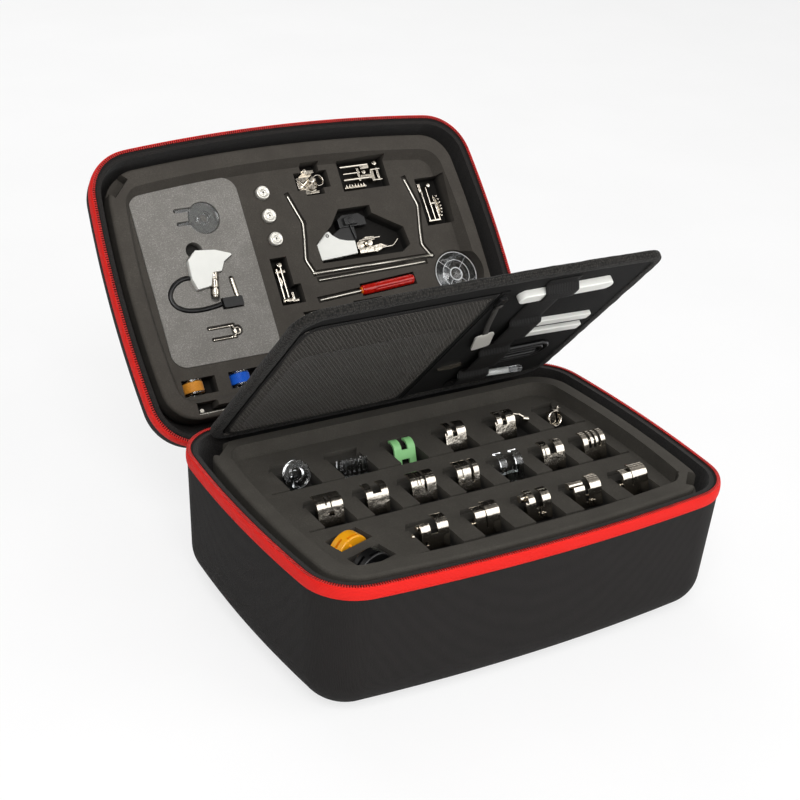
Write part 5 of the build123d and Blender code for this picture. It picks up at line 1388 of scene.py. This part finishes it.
def forkClip():
    # two-prong clip of bent wire, with an eye and a sleeve on each prong
    level = lidField + forkLook["level"]
    work = bmesh.new()
    addTube(work, [(x, y, level) for x, y in forkLook["route"]], forkLook["wire"], 3)
    addRing(work, (*forkLook["eye"], level), forkLook["eyeRadius"], forkLook["eyeWire"])
    for y in forkLook["sleeves"]:
        addRod(work, *((x, y, level) for x in forkLook["sleeveX"]), forkLook["sleeveRadius"], domes=0.3)
    lidPiece("fork_clip_wire", work, "plated", ["fork_clip"])


wireFrame()
thumbScrews()
handleCollar()
tubeLabel()
discGuide()
for name, look in attachments.items():
    attachmentPiece(name, look)
sensorBarrel()
forkClip()
print("lid attachments made")

# Camera, lights, floor
def lookingAt(position, target):
    turn = (Vector(target) - Vector(position)).to_track_quat("-Z", "Y")
    return Matrix.Translation(position) @ turn.to_matrix().to_4x4()


shot = {"position": (-0.7037, -0.9869, 0.7753), "target": (-0.02568, 0.0476, 0.15785), "lensMm": 75.34,
        "rollDegrees": 4.245}
cameraData = bpy.data.cameras.new("studioCamera")
cameraData.lens = shot["lensMm"]
cameraData.sensor_width = 36.0
camera = bpy.data.objects.new("studioCamera", cameraData)
bpy.context.scene.collection.objects.link(camera)
roll = Matrix.Rotation(radians(shot["rollDegrees"]), 4, "Z")
camera.matrix_world = lookingAt(shot["position"], shot["target"]) @ roll
bpy.context.scene.camera = camera
bpy.context.scene.view_settings.view_transform = "Standard"

lamps = {
    "keyBox": {"position": (-0.9, -1.4, 2.1), "size": 1.3, "watts": 38.0},
    "fillBox": {"position": (1.3, -1.3, 1.1), "size": 1.6, "watts": 14.0},
    "lowBox": {"position": (-0.2, -1.9, 0.45), "size": 0.9, "watts": 8.0},
    "backBox": {"position": (0.2, 1.8, 1.9), "size": 1.6, "watts": 18.0},
}
for name, lamp in lamps.items():
    data = bpy.data.lights.new(name, "AREA")
    data.shape = "SQUARE"
    data.size = lamp["size"]
    data.energy = lamp["watts"]
    light = bpy.data.objects.new(name, data)
    light.matrix_world = lookingAt(lamp["position"], (0, 0.05, 0.12))
    bpy.context.scene.collection.objects.link(light)

skyLook = {"ambient": 0.36, "panelTint": (1.0, 0.97, 0.93, 1), "panelScale": 4.5,
           "panels": (0.44, 0.56, 0.08, 1.3), "rising": (0.1, 0.3, 0.03, 1.0),
           "falling": (0.62, 0.85, 1.0, 0.12)}


def studioSky():
    # white backdrop, even ambient light, and soft bright panels that only reflections see
    world = bpy.data.worlds.new("studioWorld")
    bpy.context.scene.world = world
    world.use_nodes = True
    tree = world.node_tree
    tree.nodes.clear()
    path = addNode(tree, "ShaderNodeLightPath").outputs
    seen = addNode(tree, "ShaderNodeMath", {0: path["Is Camera Ray"], 1: path["Is Transmission Ray"]},
                   operation="MAXIMUM")
    direction = addNode(tree, "ShaderNodeTexCoord").outputs["Generated"]
    height = addNode(tree, "ShaderNodeSeparateXYZ", {0: direction}).outputs["Z"]
    band = product(tree, spread(tree, height, *skyLook["rising"]), spread(tree, height, *skyLook["falling"]))
    panels = spread(tree, noiseAt(tree, direction, skyLook["panelScale"], 1.0), *skyLook["panels"])
    white = (1, 1, 1, 1)
    shades = ((white, skyLook["ambient"]), (skyLook["panelTint"], product(tree, band, panels)), (white, 1.0))
    lights = [addNode(tree, "ShaderNodeBackground", {"Color": colour, "Strength": strength}).outputs[0]
              for colour, strength in shades]
    mixed = addNode(tree, "ShaderNodeMixShader", {0: path["Is Glossy Ray"], 1: lights[0], 2: lights[1]})
    mixed = addNode(tree, "ShaderNodeMixShader", {0: seen.outputs[0], 1: mixed.outputs[0], 2: lights[2]})
    addNode(tree, "ShaderNodeOutputWorld", {"Surface": mixed.outputs[0]})


studioSky()
floorLook = {"half": 6.0, "dark": "#f2f2f2", "light": "#fbfbfb", "glow": 0.75}


def paperSweep():
    # seamless white paper, matt, faint fibre; it glows to the camera so that it stays even
    material = bpy.data.materials.new("paperSweepWhite")
    material.use_nodes = True
    tree = material.node_tree
    bsdf = tree.nodes["Principled BSDF"]
    bsdf.inputs["Roughness"].default_value = 0.9
    fibre = addNode(tree, "ShaderNodeTexNoise", {"Scale": 60.0, "Detail": 3.0}).outputs["Fac"]
    dark, light = linear(floorLook["dark"]), linear(floorLook["light"])
    blendColours(tree, bsdf, spread(tree, fibre, 0.3, 0.7), dark, light)
    glow = addNode(tree, "ShaderNodeEmission", {"Color": (1, 1, 1, 1), "Strength": 1.0})
    seen = addNode(tree, "ShaderNodeLightPath").outputs["Is Camera Ray"]
    mixed = addNode(tree, "ShaderNodeMixShader", {
        0: product(tree, seen, floorLook["glow"]), 1: bsdf.outputs[0], 2: glow.outputs[0],
    })
    tree.links.new(mixed.outputs[0], tree.nodes["Material Output"].inputs["Surface"])
    return material


floorWork = bmesh.new()
bmesh.ops.create_grid(floorWork, x_segments=1, y_segments=1, size=floorLook["half"])
floorMesh = bpy.data.meshes.new("floor")
floorWork.to_mesh(floorMesh)
floorWork.free()
floor = bpy.data.objects.new("floor", floorMesh)
bpy.context.scene.collection.objects.link(floor)
floorMesh.materials.append(paperSweep())
print("stage set")
